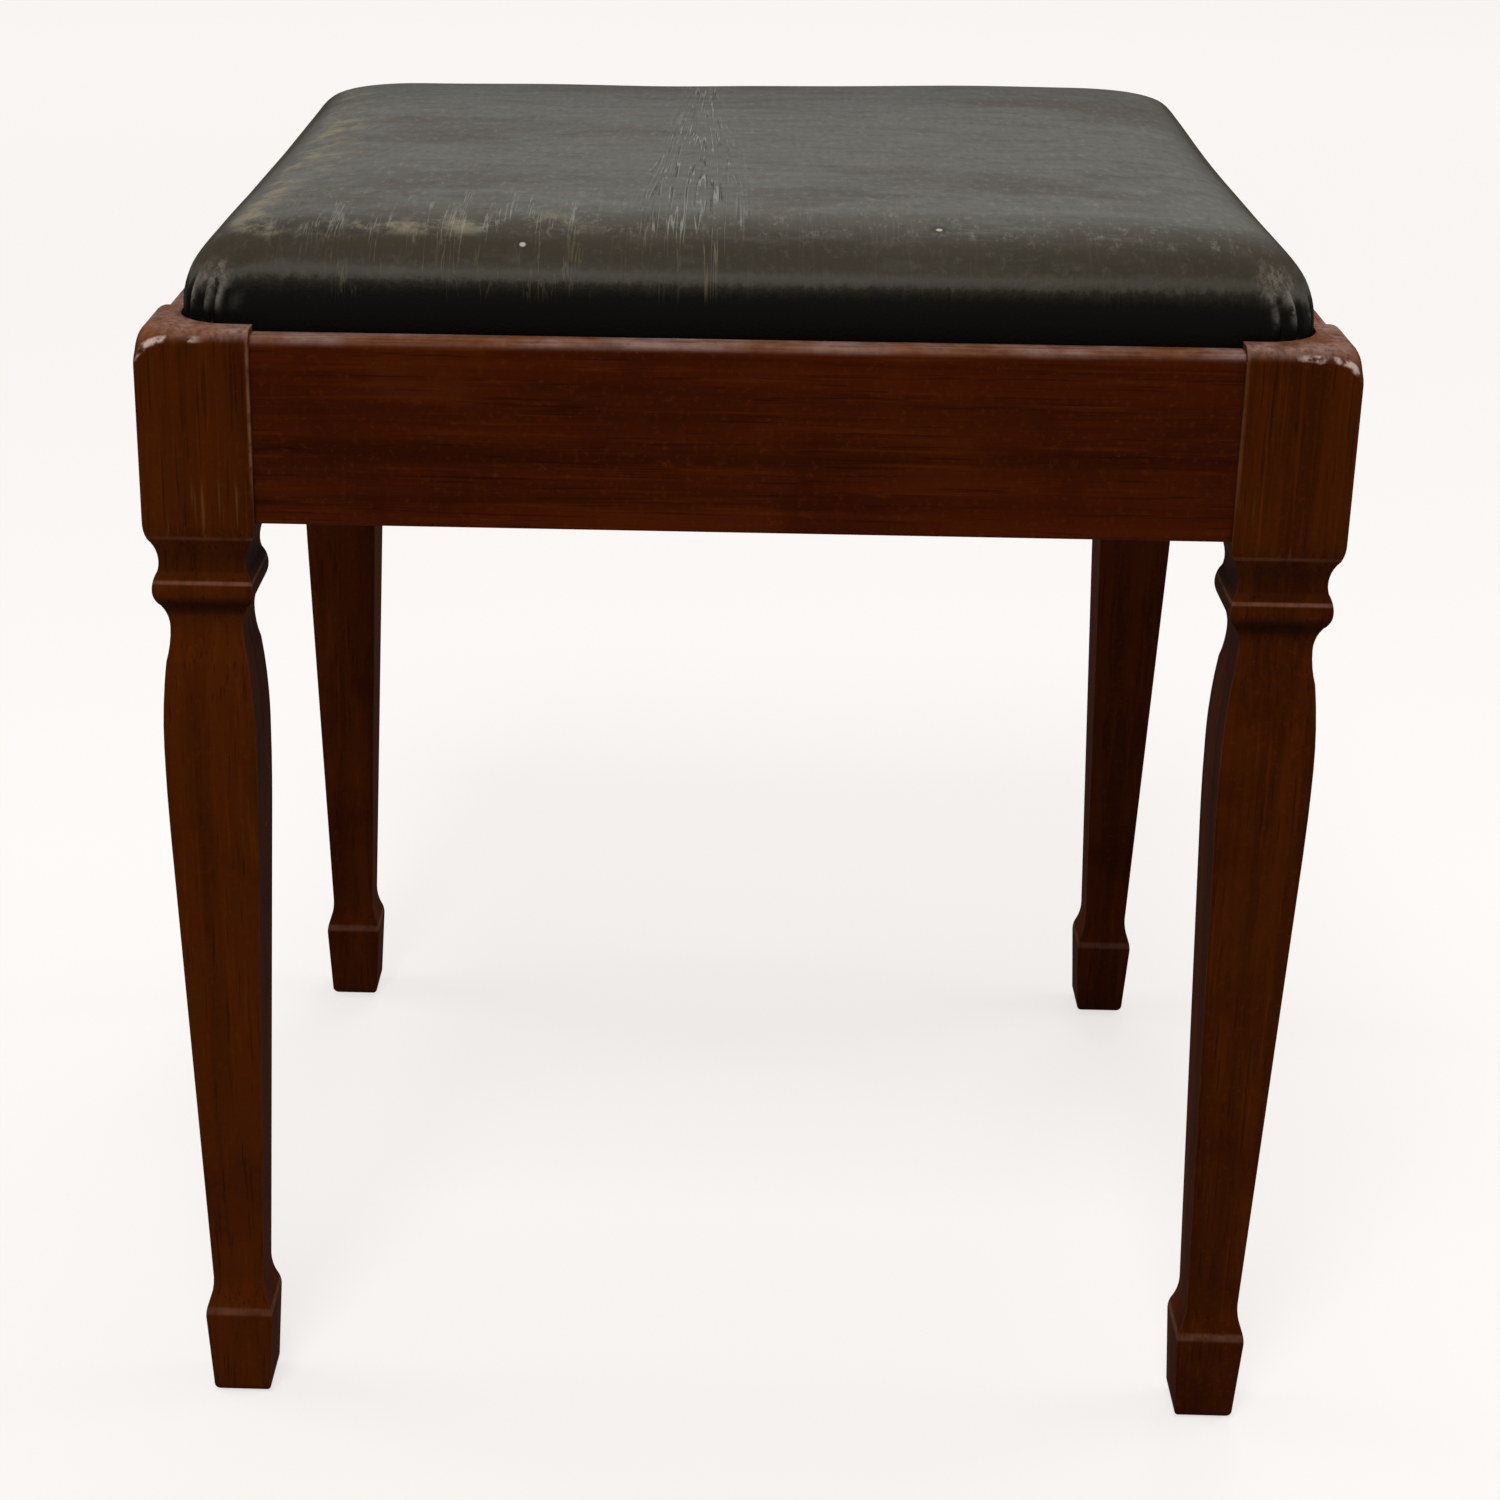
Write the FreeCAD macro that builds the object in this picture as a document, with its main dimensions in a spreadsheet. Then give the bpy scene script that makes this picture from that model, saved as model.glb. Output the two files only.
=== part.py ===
import FreeCAD
import Part
import Sketcher
import math
import os

# Vanity stool: four moulded square legs, a dowelled rail frame and a slip seat that lifts out.
# Millimetres. +Z is up, the front faces -Y, and the origin is on the floor under the middle.

# Driving dimensions, one spreadsheet cell each.
SIZES = {
    # Frame over the leg blocks.
    "frame_width": 433,
    "frame_depth": 405,
    "leg_height": 447,
    # Leg widths, from the block down to the sole.
    "leg_block": 41,
    "ogee_width": 38.5,
    "cove_width": 32.2,
    "quirk_width": 33.2,
    "bead_width": 37.2,
    "collar_width": 32,
    "neck_width": 26.9,
    "shoulder_width": 30.5,
    "swell_width": 34.6,
    "taper_width": 33.5,
    "ankle_width": 20.3,
    "flare_width": 24.4,
    "foot_width": 26.8,
    "sole_width": 23.3,
    # Leg heights, each from one turn of the moulding to the next, from the floor up.
    "sole_round": 5,
    "foot_height": 37.5,
    "flare_rise": 6,
    "ankle_rise": 10.5,
    "swell_rise": 35,
    "shoulder_rise": 33,
    "neck_below": 13,
    "neck_above": 9,
    "bead_below": 6.5,
    "bead_above": 7,
    "cove_below": 3.5,
    "cove_above": 9.5,
    "ogee_rise": 6.5,
    "block_height": 71,
    # Leg top: the outer corner is rounded off, and the outer edges are eased.
    "corner_run": 18,
    "corner_drop": 13,
    "leg_top_round": 5.5,
    # Rails.
    "rail_thickness": 22,
    "rail_setback": 2,
    "rail_step": 2.5,
    "rail_round": 4,
    # Rebate that holds the seat.
    "land_width": 12,
    "rebate_depth": 12,
    "seat_clearance": 0.8,
    # Dowels, and the play at the bottom of each blind bore.
    "dowel_diameter": 8,
    "dowel_length": 36,
    "dowel_clearance": 0.1,
    "bore_end_gap": 0.5,
    "dowel_low": 16,
    "dowel_high": 40,
    # Corner blocks and their screws.
    "block_reach": 50,
    "corner_block_height": 36,
    "corner_block_drop": 2,
    "screw_offset": 20,
    "screw_low": 12,
    "screw_high": 24,
    "screw_grip": 14,
    "screw_bite": 12,
    "screw_diameter": 4,
    "screw_head_diameter": 8,
    "screw_head_height": 2.6,
    "screw_clearance": 0.1,
    "counterbore_clearance": 0.8,
    # Seat: a board, foam, wadding and a cover turned under and tacked.
    "seat_corner": 20,
    "seat_draw_in": 1,
    "seat_height": 48,
    "seat_crown": 4,
    "crown_middle": 50,
    "seat_roll": 27,
    "crown_corner": 34,
    "cover_thickness": 1.2,
    "cover_turn_under": 26,
    "layer_gap": 0.1,
    "board_thickness": 12,
    "wadding_thickness": 5,
    "tack_inset": 19,
    "tack_end": 44,
    "tack_head_diameter": 6,
    "tack_head_height": 0.7,
    "tack_shank_diameter": 1.6,
    "tack_length": 9,
}
TACKS_ALONG_WIDTH = 9
TACKS_ALONG_DEPTH = 8
ROLL_STEPS = 8
CROWN_STEPS = 4

# Quarter turns that bring the front left corner, or the front rail, to each of its places.
CORNERS = {"front_left": 0, "front_right": 1, "rear_right": 2, "rear_left": 3}
SIDES = {"front": 0, "right": 1, "rear": 2, "left": 3}
QUARTER_TURN = 90
FULL_TURN = 360
TOWARDS_OUTER_CORNER = 225
DIAGONAL = math.sqrt(2)
UP = FreeCAD.Vector(0, 0, 1)
BACK = FreeCAD.Vector(0, 1, 0)
EDGE_TOLERANCE = 0.01

# The ends of a sketch edge and the sketch's own origin and axes, as a sketch numbers them.
START, END, CENTRE = range(1, 4)
ACROSS_AXIS, UPRIGHT_AXIS = range(-1, -3, -1)
ORIGIN = ACROSS_AXIS


class Length:
    """A length with its number and the spreadsheet expression that gives it."""

    def __init__(self, number, text):
        self.number = number
        self.text = text

    @staticmethod
    def of(item):
        return item if isinstance(item, Length) else Length(item, repr(item))

    def __add__(self, other):
        other = Length.of(other)
        return Length(self.number + other.number, f"({self.text} + {other.text})")

    def __sub__(self, other):
        other = Length.of(other)
        return Length(self.number - other.number, f"({self.text} - {other.text})")

    def __mul__(self, other):
        other = Length.of(other)
        return Length(self.number * other.number, f"({self.text} * {other.text})")

    def __truediv__(self, other):
        other = Length.of(other)
        return Length(self.number / other.number, f"({self.text} / {other.text})")

    def __neg__(self):
        return Length(-self.number, f"(-{self.text})")

    def root(self):
        return Length(math.sqrt(self.number), f"sqrt({self.text})")

    def least(self, other):
        return Length(min(self.number, other.number), f"min({self.text}; {other.text})")


def make_sheet(doc):
    """Write the driving dimensions and return each one as a Length."""
    sheet = doc.addObject("Spreadsheet::Sheet", "Sizes")
    lengths = {}
    for row, (alias, number) in enumerate(SIZES.items(), start=1):
        sheet.set(f"A{row}", alias)
        sheet.set(f"B{row}", str(number))
        sheet.setAlias(f"B{row}", alias)
        lengths[alias] = Length(number, f"Sizes.{alias}")
    doc.recompute()
    return lengths


doc = FreeCAD.newDocument("VanityStool")
size = make_sheet(doc)

# Levels and places that several pieces share.
cut_margin = size["leg_block"] / 2
rail_bottom = size["leg_height"] - size["block_height"]
rail_height = size["block_height"] - size["rail_step"]
ledge_level = size["leg_height"] - size["rebate_depth"]
rail_inner = size["rail_setback"] + size["rail_thickness"]
rail_middle = size["rail_setback"] + size["rail_thickness"] / 2
seat_half_width = size["frame_width"] / 2 - size["land_width"] - size["seat_clearance"]
seat_half_depth = size["frame_depth"] / 2 - size["land_width"] - size["seat_clearance"]
board_top = size["cover_thickness"] + size["board_thickness"]


# Sketch helpers

def origin_plane(body, role):
    """Return the body's own origin plane with this role."""
    for feature in body.Origin.OriginFeatures:
        if feature.Role == role:
            return feature
    raise ValueError(f"no origin plane {role}")


def new_sketch(body, name, role, across=None, up=None, out=None, turn=None):
    """Attach a sketch to an origin plane, moved in that plane's own axes and turned."""
    sketch = body.newObject("Sketcher::SketchObject", name)
    sketch.AttachmentSupport = (origin_plane(body, role), "")
    sketch.MapMode = "FlatFace"
    if turn is not None:
        sketch.AttachmentOffset = FreeCAD.Placement(FreeCAD.Vector(0, 0, 0), turn)
    for axis, move in (("x", across), ("y", up), ("z", out)):
        if move is not None:
            sketch.setExpression(f"AttachmentOffset.Base.{axis}", move.text)
    return sketch


def constrain(sketch, rules):
    """Add constraints together, and bind each one that has an expression."""
    first = sketch.ConstraintCount
    sketch.addConstraint([rule for rule, text in rules])
    for index, (rule, text) in enumerate(rules, start=first):
        if text:
            sketch.setExpression(f"Constraints[{index}]", text)


def pin(edge, end, x, y):
    """Return the rules that hold a sketch point at x, y; a bare 0 holds it on the axis."""
    rules = []
    for kind, item, axis in (("DistanceX", x, UPRIGHT_AXIS), ("DistanceY", y, ACROSS_AXIS)):
        if isinstance(item, Length):
            rule = Sketcher.Constraint(kind, ORIGIN, START, edge, end, item.number)
            rules.append((rule, item.text))
        else:
            rules.append((Sketcher.Constraint("PointOnObject", edge, end, axis), None))
    return rules


def arc_between(start, end, centre):
    """Return the short arc between two points, and whether it runs from end to start."""
    radius = (start - centre).Length
    angles = []
    for point in (start, end):
        angles.append(math.atan2(point.y - centre.y, point.x - centre.x))
    backwards = (start - centre).cross(end - centre).z < 0
    if backwards:
        angles.reverse()
    circle = Part.Circle(centre, UP, radius)
    return Part.ArcOfCircle(circle, angles[0], angles[1]), backwards


def level_centre(start, end, level):
    """Return the centre, at this level, of the arc through two points."""
    rise_end = (end.y - level) ** 2
    rise_start = (start.y - level) ** 2
    x = (end.x ** 2 + rise_end - start.x ** 2 - rise_start) / (2 * (end.x - start.x))
    return FreeCAD.Vector(x, level, 0)


def plumb_centre(start, end):
    """Return the centre, on the sketch's upright axis, of the arc through two points."""
    y = (end.y ** 2 + end.x ** 2 - start.y ** 2 - start.x ** 2) / (2 * (end.y - start.y))
    return FreeCAD.Vector(0, y, 0)


def draw_profile(sketch, corners):
    """Draw a closed profile through corners (x, y, bend).

    The bend shapes the edge to the next corner: None is straight, a Length is an arc whose centre
    is at that level, and 0 is an arc whose centre is on the upright axis.
    """
    points = []
    for x, y, bend in corners:
        points.append(FreeCAD.Vector(Length.of(x).number, Length.of(y).number, 0))
    starts = []
    ends = []
    rules = []
    for index, (x, y, bend) in enumerate(corners):
        start = points[index]
        end = points[(index + 1) % len(points)]
        if bend is None:
            edge = sketch.addGeometry(Part.LineSegment(start, end), False)
            backwards = False
        else:
            level = isinstance(bend, Length)
            centre = level_centre(start, end, bend.number) if level else plumb_centre(start, end)
            arc, backwards = arc_between(start, end, centre)
            edge = sketch.addGeometry(arc, False)
            if level:
                rule = Sketcher.Constraint("DistanceY", ORIGIN, START, edge, CENTRE, bend.number)
                rules.append((rule, bend.text))
            else:
                rules.append((Sketcher.Constraint("PointOnObject", edge, CENTRE, UPRIGHT_AXIS), None))
        starts.append((edge, END if backwards else START))
        ends.append((edge, START if backwards else END))
    for index, (x, y, bend) in enumerate(corners):
        rules.append((Sketcher.Constraint("Coincident", *ends[index - 1], *starts[index]), None))
        rules.extend(pin(*starts[index], x, y))
    constrain(sketch, rules)


def draw_circles(sketch, centres, radius):
    """Draw equal circles at the given centres."""
    rules = []
    for x, y in centres:
        centre = FreeCAD.Vector(Length.of(x).number, Length.of(y).number, 0)
        edge = sketch.addGeometry(Part.Circle(centre, UP, radius.number), False)
        rules.append((Sketcher.Constraint("Radius", edge, radius.number), radius.text))
        rules.extend(pin(edge, CENTRE, x, y))
    constrain(sketch, rules)


def rectangle(low_x, low_y, high_x, high_y):
    """Return the corners of an upright rectangle."""
    return [
        (low_x, low_y, None),
        (high_x, low_y, None),
        (high_x, high_y, None),
        (low_x, high_y, None),
    ]


# Feature helpers

def new_body(label):
    body = doc.addObject("PartDesign::Body", label)
    body.Label = label
    return body


def pad(body, sketch, length, symmetric=False):
    feature = body.newObject("PartDesign::Pad", sketch.Name + "_pad")
    feature.Profile = sketch
    feature.setExpression("Length", length.text)
    feature.SideType = "Symmetric" if symmetric else "One side"
    doc.recompute()
    return feature


def pocket(body, sketch, length, symmetric=False, flip=False):
    """Cut a pocket and make sure that it took material away."""
    before = body.Shape.Volume
    feature = body.newObject("PartDesign::Pocket", sketch.Name + "_pocket")
    feature.Profile = sketch
    feature.setExpression("Length", length.text)
    feature.SideType = "Symmetric" if symmetric else "One side"
    feature.Reversed = flip
    doc.recompute()
    if body.Shape.Volume >= before:
        raise ValueError(f"{feature.Name} cuts nothing")
    return feature


def spin(body, sketch, kind):
    """Turn a sketch about its own upright axis into a Revolution or a Groove."""
    feature = body.newObject("PartDesign::" + kind, sketch.Name + "_turned")
    feature.Profile = sketch
    feature.ReferenceAxis = (sketch, ["V_Axis"])
    feature.Angle = FULL_TURN
    doc.recompute()
    return feature


def mirror(body, features, role):
    feature = body.newObject("PartDesign::Mirrored", features[0].Name + "_mirrored")
    feature.Originals = features
    feature.MirrorPlane = (origin_plane(body, role), [""])
    body.Tip = feature
    doc.recompute()
    return feature


def fillet(body, base, keep_edge, radius):
    """Round the edges of a feature that keep_edge accepts."""
    names = []
    for index, edge in enumerate(base.Shape.Edges, start=1):
        if keep_edge(edge):
            names.append(f"Edge{index}")
    feature = body.newObject("PartDesign::Fillet", base.Name + "_fillet")
    feature.Base = (base, names)
    feature.setExpression("Radius", radius.text)
    doc.recompute()
    return feature


def place(item, x, y, z, quarter_turns=0):
    """Place an item in the stool's frame, turned about Z."""
    turn = FreeCAD.Rotation(UP, QUARTER_TURN * quarter_turns)
    item.Placement = FreeCAD.Placement(FreeCAD.Vector(0, 0, 0), turn)
    for axis, item_place in (("x", x), ("y", y), ("z", z)):
        item.setExpression(f"Placement.Base.{axis}", Length.of(item_place).text)


def place_in_corner(item, quarter_turns, inset, level):
    """Place an item at this inset from the two outer faces of one corner of the frame."""
    x = size["frame_width"] / 2 - inset
    y = size["frame_depth"] / 2 - inset
    x_sign = 1 if quarter_turns in (1, 2) else -1
    y_sign = 1 if quarter_turns in (2, 3) else -1
    place(item, x * x_sign, y * y_sign, level, quarter_turns)


def group(label, items):
    """Join like pieces into one node of separate solids."""
    compound = doc.addObject("Part::Compound", label)
    compound.Label = label
    compound.Links = items
    doc.recompute()
    return compound


# Legs

def leg_moulding():
    """Return half of the leg's outline, from the sole up to the bottom of the block.

    Each round ends upright at its widest or narrowest turn, so its centre is at that turn's level.
    """
    half = {}
    for name in ("ogee", "cove", "quirk", "bead", "collar", "neck", "shoulder", "swell", "taper",
                 "ankle", "flare", "foot", "sole"):
        half[name] = size[name + "_width"] / 2
    foot = size["foot_height"]
    flare = foot + size["flare_rise"]
    ankle = flare + size["ankle_rise"]
    block = rail_bottom
    ogee = block - size["ogee_rise"]
    cove = ogee - size["cove_above"]
    quirk = cove - size["cove_below"]
    bead = quirk - size["bead_above"]
    collar = bead - size["bead_below"]
    neck = collar - size["neck_above"]
    shoulder = neck - size["neck_below"]
    swell = shoulder - size["shoulder_rise"]
    taper = swell - size["swell_rise"]
    return [
        (half["sole"] - size["sole_round"], 0, size["sole_round"]),
        (half["sole"], size["sole_round"], None),
        (half["foot"], foot, foot),
        (half["flare"], flare, ankle),
        (half["ankle"], ankle, None),
        (half["taper"], taper, swell),
        (half["swell"], swell, swell),
        (half["shoulder"], shoulder, neck),
        (half["neck"], neck, neck),
        (half["collar"], collar, bead),
        (half["bead"], bead, bead),
        (half["quirk"], quirk, cove),
        (half["cove"], cove, cove),
        (half["ogee"], ogee, block),
        (size["leg_block"] / 2, block, None),
    ]


def make_leg(name, quarter_turns):
    """Shape a square leg on two faces and then on the other two, and cut its joints.

    In the leg's own frame its axis is Z, and its outer corner is towards -X and -Y.
    """
    body = new_body("leg_" + name)
    half_block = size["leg_block"] / 2
    top = size["leg_height"]

    side = new_sketch(body, name + "_side", "XZ_Plane")
    draw_profile(side, [(0, 0, None)] + leg_moulding() + [(half_block, top, None), (0, top, None)])
    half_leg = pad(body, side, size["leg_block"], symmetric=True)
    mirror(body, [half_leg], "YZ_Plane")

    waste = new_sketch(body, name + "_waste", "YZ_Plane")
    moulding = leg_moulding()
    outside = half_block + cut_margin
    sole_edge = moulding[0][0]
    draw_profile(waste, moulding + [(outside, rail_bottom, None), (outside, -cut_margin, None),
                                    (sole_edge, -cut_margin, None)])
    shaped = pocket(body, waste, size["leg_block"] * 2, symmetric=True)
    mirror(body, [shaped], "XZ_Plane")

    rebate = new_sketch(body, name + "_rebate", "XY_Plane", out=top)
    wall = size["land_width"] - half_block
    bend = wall + size["seat_corner"] + size["seat_clearance"]
    draw_profile(rebate, [(wall, bend, bend), (bend, wall, None), (outside, wall, None),
                          (outside, outside, None), (wall, outside, None)])
    pocket(body, rebate, size["rebate_depth"])

    bore = size["dowel_diameter"] / 2 + size["dowel_clearance"]
    bore_depth = size["dowel_length"] / 2 + size["bore_end_gap"]
    bores = [(rail_middle - half_block, rail_bottom + size["dowel_low"]),
             (rail_middle - half_block, rail_bottom + size["dowel_high"])]
    for role, face, flip in (("YZ_Plane", half_block, False), ("XZ_Plane", -half_block, True)):
        joint = new_sketch(body, f"{name}_bores_{role[:2]}", role, out=face)
        draw_circles(joint, bores, bore)
        pocket(body, joint, bore_depth, flip=flip)

    towards_corner = FreeCAD.Rotation(BACK, TOWARDS_OUTER_CORNER)
    corner = new_sketch(body, name + "_corner", "XZ_Plane", turn=towards_corner)
    reach = size["leg_block"] / DIAGONAL
    shelf = reach - size["corner_run"] / DIAGONAL
    low = top - size["corner_drop"]
    draw_profile(corner, [(reach, low, low), (shelf, top, None), (shelf, top + cut_margin, None),
                          (reach + cut_margin, top + cut_margin, None), (reach + cut_margin, low, None)])
    rounded = pocket(body, corner, size["leg_block"] * 2, symmetric=True)

    def is_outer_top_edge(edge):
        box = edge.BoundBox
        on_face = min(box.XMax, box.YMax) < EDGE_TOLERANCE - half_block.number
        return on_face and box.ZMin > top.number - EDGE_TOLERANCE

    fillet(body, rounded, is_outer_top_edge, size["leg_top_round"])
    place_in_corner(body, quarter_turns, half_block, 0)
    return body


# Rails

def make_rail(name, quarter_turns):
    """Extrude a rail with a rounded top edge and a rebate, then bore its ends and its screw pilots.

    In the rail's own frame its length is along X and its outer face is at Y = 0.
    """
    body = new_body("rail_" + name)
    along_width = quarter_turns in (0, 2)
    span = size["frame_width"] if along_width else size["frame_depth"]
    across = size["frame_depth"] if along_width else size["frame_width"]
    length = span - size["leg_block"] * 2
    land = size["land_width"] - size["rail_setback"]
    ledge = ledge_level - rail_bottom
    thickness = size["rail_thickness"]
    bend = rail_height - size["rail_round"]

    section = new_sketch(body, name + "_section", "YZ_Plane")
    draw_profile(section, [(0, 0, None), (thickness, 0, None), (thickness, ledge, None),
                           (land, ledge, None), (land, rail_height, None),
                           (size["rail_round"], rail_height, bend), (0, bend, None)])
    pad(body, section, length, symmetric=True)

    ends = new_sketch(body, name + "_ends", "YZ_Plane", out=length / 2)
    draw_circles(ends, [(thickness / 2, size["dowel_low"]), (thickness / 2, size["dowel_high"])],
                 size["dowel_diameter"] / 2 + size["dowel_clearance"])
    bored = pocket(body, ends, size["dowel_length"] / 2 + size["bore_end_gap"])
    mirror(body, [bored], "YZ_Plane")

    pilots = new_sketch(body, name + "_pilots", "XZ_Plane", out=-thickness)
    reach = length / 2 - size["screw_offset"]
    draw_circles(pilots, [(-reach, screw_level("screw_low") - rail_bottom),
                          (reach, screw_level("screw_high") - rail_bottom)],
                 size["screw_diameter"] / 2 + size["screw_clearance"])
    pocket(body, pilots, size["screw_bite"] + size["bore_end_gap"], flip=True)

    face = across / 2 - size["rail_setback"]
    x_sign = (0, 1, 0, -1)[quarter_turns]
    y_sign = (-1, 0, 1, 0)[quarter_turns]
    place(body, face * x_sign, face * y_sign, rail_bottom, quarter_turns)
    return body


# Dowels

def make_dowels(name, quarter_turns):
    """Make the four dowels of one corner, in the leg's own frame."""
    body = new_body("dowels_" + name)
    half_block = size["leg_block"] / 2
    row = rail_middle - half_block
    centres = [(row, rail_bottom + size["dowel_low"]), (row, rail_bottom + size["dowel_high"])]
    for role, face in (("YZ_Plane", half_block), ("XZ_Plane", -half_block)):
        sketch = new_sketch(body, f"{name}_dowels_{role[:2]}", role, out=face)
        draw_circles(sketch, centres, size["dowel_diameter"] / 2)
        pad(body, sketch, size["dowel_length"], symmetric=True)
    place_in_corner(body, quarter_turns, half_block, 0)
    return body


# Corner blocks and screws

def corner_block_bottom():
    return ledge_level - size["corner_block_drop"] - size["corner_block_height"]


def screw_level(name):
    """Return the height above the floor of a corner block's lower or upper screw."""
    return corner_block_bottom() + size[name]


def screw_place():
    """Return how far along a rail's inner face a screw is from the other rail's inner face."""
    return size["leg_block"] - rail_inner + size["screw_offset"]


def make_corner_block(name, quarter_turns):
    """Make a block that fits between two rails, notched round the leg, with counterbored holes.

    In the block's own frame the two rails' inner faces are X = 0 and Y = 0.
    """
    body = new_body("corner_block_" + name)
    notch = size["leg_block"] - rail_inner
    reach = notch + size["block_reach"]

    plan = new_sketch(body, name + "_plan", "XY_Plane")
    draw_profile(plan, [(notch, 0, None), (reach, 0, None), (0, reach, None), (0, notch, None),
                        (notch, notch, None)])
    pad(body, plan, size["corner_block_height"])

    hole = size["screw_diameter"] / 2 + size["screw_clearance"]
    well = size["screw_head_diameter"] / 2 + size["counterbore_clearance"]
    for role, height, flip, sign in (("XZ_Plane", "screw_low", False, -1),
                                     ("YZ_Plane", "screw_high", True, 1)):
        centre = [(screw_place(), size[height])]
        through = new_sketch(body, f"{name}_hole_{role[:2]}", role)
        draw_circles(through, centre, hole)
        pocket(body, through, reach, flip=flip)
        sunk = new_sketch(body, f"{name}_well_{role[:2]}", role, out=size["screw_grip"] * sign)
        draw_circles(sunk, centre, well)
        pocket(body, sunk, reach, flip=flip)

    place_in_corner(body, quarter_turns, rail_inner, corner_block_bottom())
    return body


def make_screws(name, quarter_turns):
    """Turn the two wood screws of one corner block, in the block's own frame."""
    body = new_body("screws_" + name)
    shank = size["screw_diameter"] / 2
    head = size["screw_head_diameter"] / 2
    head_top = size["screw_head_height"]
    tip = -(size["screw_grip"] + size["screw_bite"])
    point = tip + size["screw_diameter"]
    grip = size["screw_grip"]
    along_x = FreeCAD.Rotation(UP, -QUARTER_TURN)
    for level, x, y, turn in (("screw_low", screw_place(), grip, None),
                              ("screw_high", grip, screw_place(), along_x)):
        profile = new_sketch(body, f"{name}_{level}", "XY_Plane", x, y, size[level], turn)
        draw_profile(profile, [(0, tip, None), (shank, point, None), (shank, 0, None), (head, 0, None),
                               (head, head_top, None), (0, head_top, None)])
        spin(body, profile, "Revolution")
    place_in_corner(body, quarter_turns, rail_inner, corner_block_bottom())
    return body


# Seat

def draw_seat_outline(sketch, inset, corner):
    """Draw the seat's plan: round corners joined by long sides that are drawn in between them."""
    middle_x = seat_half_width - inset - corner
    middle_y = seat_half_depth - inset - corner
    draw_in = size["seat_draw_in"]
    rules = []
    sides = []
    corners = []
    for turn in range(4):
        along, out = (middle_x, middle_y) if turn % 2 == 0 else (middle_y, middle_x)
        next_lean = math.asin(out.number / side_reach(out, draw_in).number)
        lean = math.asin(along.number / side_reach(along, draw_in).number)
        bow = side_reach(along, draw_in) - corner
        facing = math.radians(QUARTER_TURN * (turn - 1))
        outward = FreeCAD.Vector(math.cos(facing), math.sin(facing), 0)
        sideways = FreeCAD.Vector(-math.sin(facing), math.cos(facing), 0)

        centre = outward * (out.number + corner.number - draw_in.number + bow.number)
        back = facing + math.pi
        arc = Part.ArcOfCircle(Part.Circle(centre, UP, bow.number), back - lean, back + lean)
        side = sketch.addGeometry(arc, False)
        rules.append((Sketcher.Constraint("Radius", side, bow.number), bow.text))
        sides.append(side)

        centre = outward * out.number + sideways * along.number
        circle = Part.Circle(centre, UP, corner.number)
        arc = Part.ArcOfCircle(circle, facing - lean, facing + math.pi / 2 + next_lean)
        bend = sketch.addGeometry(arc, False)
        x = middle_x if centre.x > 0 else -middle_x
        y = middle_y if centre.y > 0 else -middle_y
        rules.append((Sketcher.Constraint("Radius", bend, corner.number), corner.text))
        rules.extend(pin(bend, CENTRE, x, y))
        corners.append(bend)
    for turn in range(4):
        following = sides[(turn + 1) % 4]
        rules.append((Sketcher.Constraint("Tangent", sides[turn], START, corners[turn], START), None))
        rules.append((Sketcher.Constraint("Tangent", corners[turn], END, following, END), None))
    constrain(sketch, rules)


def side_reach(along, draw_in):
    """Return the distance between the centres of a drawn-in side and of the corner that it meets."""
    return (along * along + draw_in * draw_in) / (draw_in * 2)


def cushion_outlines(layer, base):
    """Return the (inset, corner, level) of each outline of the seat's form, this far inside its surface.

    The side stands upright, the roll is a quarter round, and the crown rises to a flat middle. The
    corners in plan widen over the roll, so that the pad falls away towards them.
    """
    corner = size["seat_corner"] - layer
    crown_corner = size["crown_corner"]
    crown = size["seat_crown"]
    roll = size["seat_roll"] - layer
    roll_centre = size["seat_height"] - crown - size["seat_roll"]
    outlines = [(layer, corner, base)]
    for step in range(ROLL_STEPS + 1):
        turn = math.pi / 2 * step / ROLL_STEPS
        lean = 1 - math.cos(turn)
        level = roll_centre + roll * math.sin(turn)
        outlines.append((layer + roll * lean, corner + (crown_corner - corner) * lean, level))
    top = size["seat_height"] - layer
    run = seat_half_width.least(seat_half_depth) - size["crown_middle"] - size["seat_roll"]
    for step in range(1, CROWN_STEPS + 1):
        share = step / CROWN_STEPS
        outlines.append((size["seat_roll"] + run * share, crown_corner, top - crown * (1 - share) ** 2))
    return outlines


def make_cushion(label, layer, base):
    """Loft the seat's drawn-in, rolled and crowned form, this far inside the cover's outer surface."""
    body = new_body(label)
    sketches = []
    for index, (inset, corner, level) in enumerate(cushion_outlines(layer, base)):
        sketch = new_sketch(body, f"{label}_{index}", "XY_Plane", out=level)
        draw_seat_outline(sketch, inset, corner)
        sketches.append(sketch)
    doc.recompute()
    form = body.newObject("PartDesign::AdditiveLoft", label + "_loft")
    form.Profile = sketches[0]
    form.Sections = sketches[1:]
    form.Ruled = True
    doc.recompute()
    place(body, 0, 0, ledge_level)
    return body


def cut(label, base, tool):
    item = doc.addObject("Part::Cut", label)
    item.Label = label
    item.Base = base
    item.Tool = tool
    doc.recompute()
    return item


def make_cover():
    """Make the cover: the seat's outer form less the space inside it, open under the board."""
    outer = make_cushion("cover_outside", Length.of(0), Length.of(0))
    inner = make_cushion("cover_inside", size["cover_thickness"], size["cover_thickness"])
    mouth = new_sketch(inner, "cover_mouth", "XY_Plane", out=-cut_margin)
    half_x = seat_half_width - size["cover_turn_under"]
    half_y = seat_half_depth - size["cover_turn_under"]
    draw_profile(mouth, rectangle(-half_x, -half_y, half_x, half_y))
    pad(inner, mouth, cut_margin + board_top)
    return cut("seat_cover", outer, inner)


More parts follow.
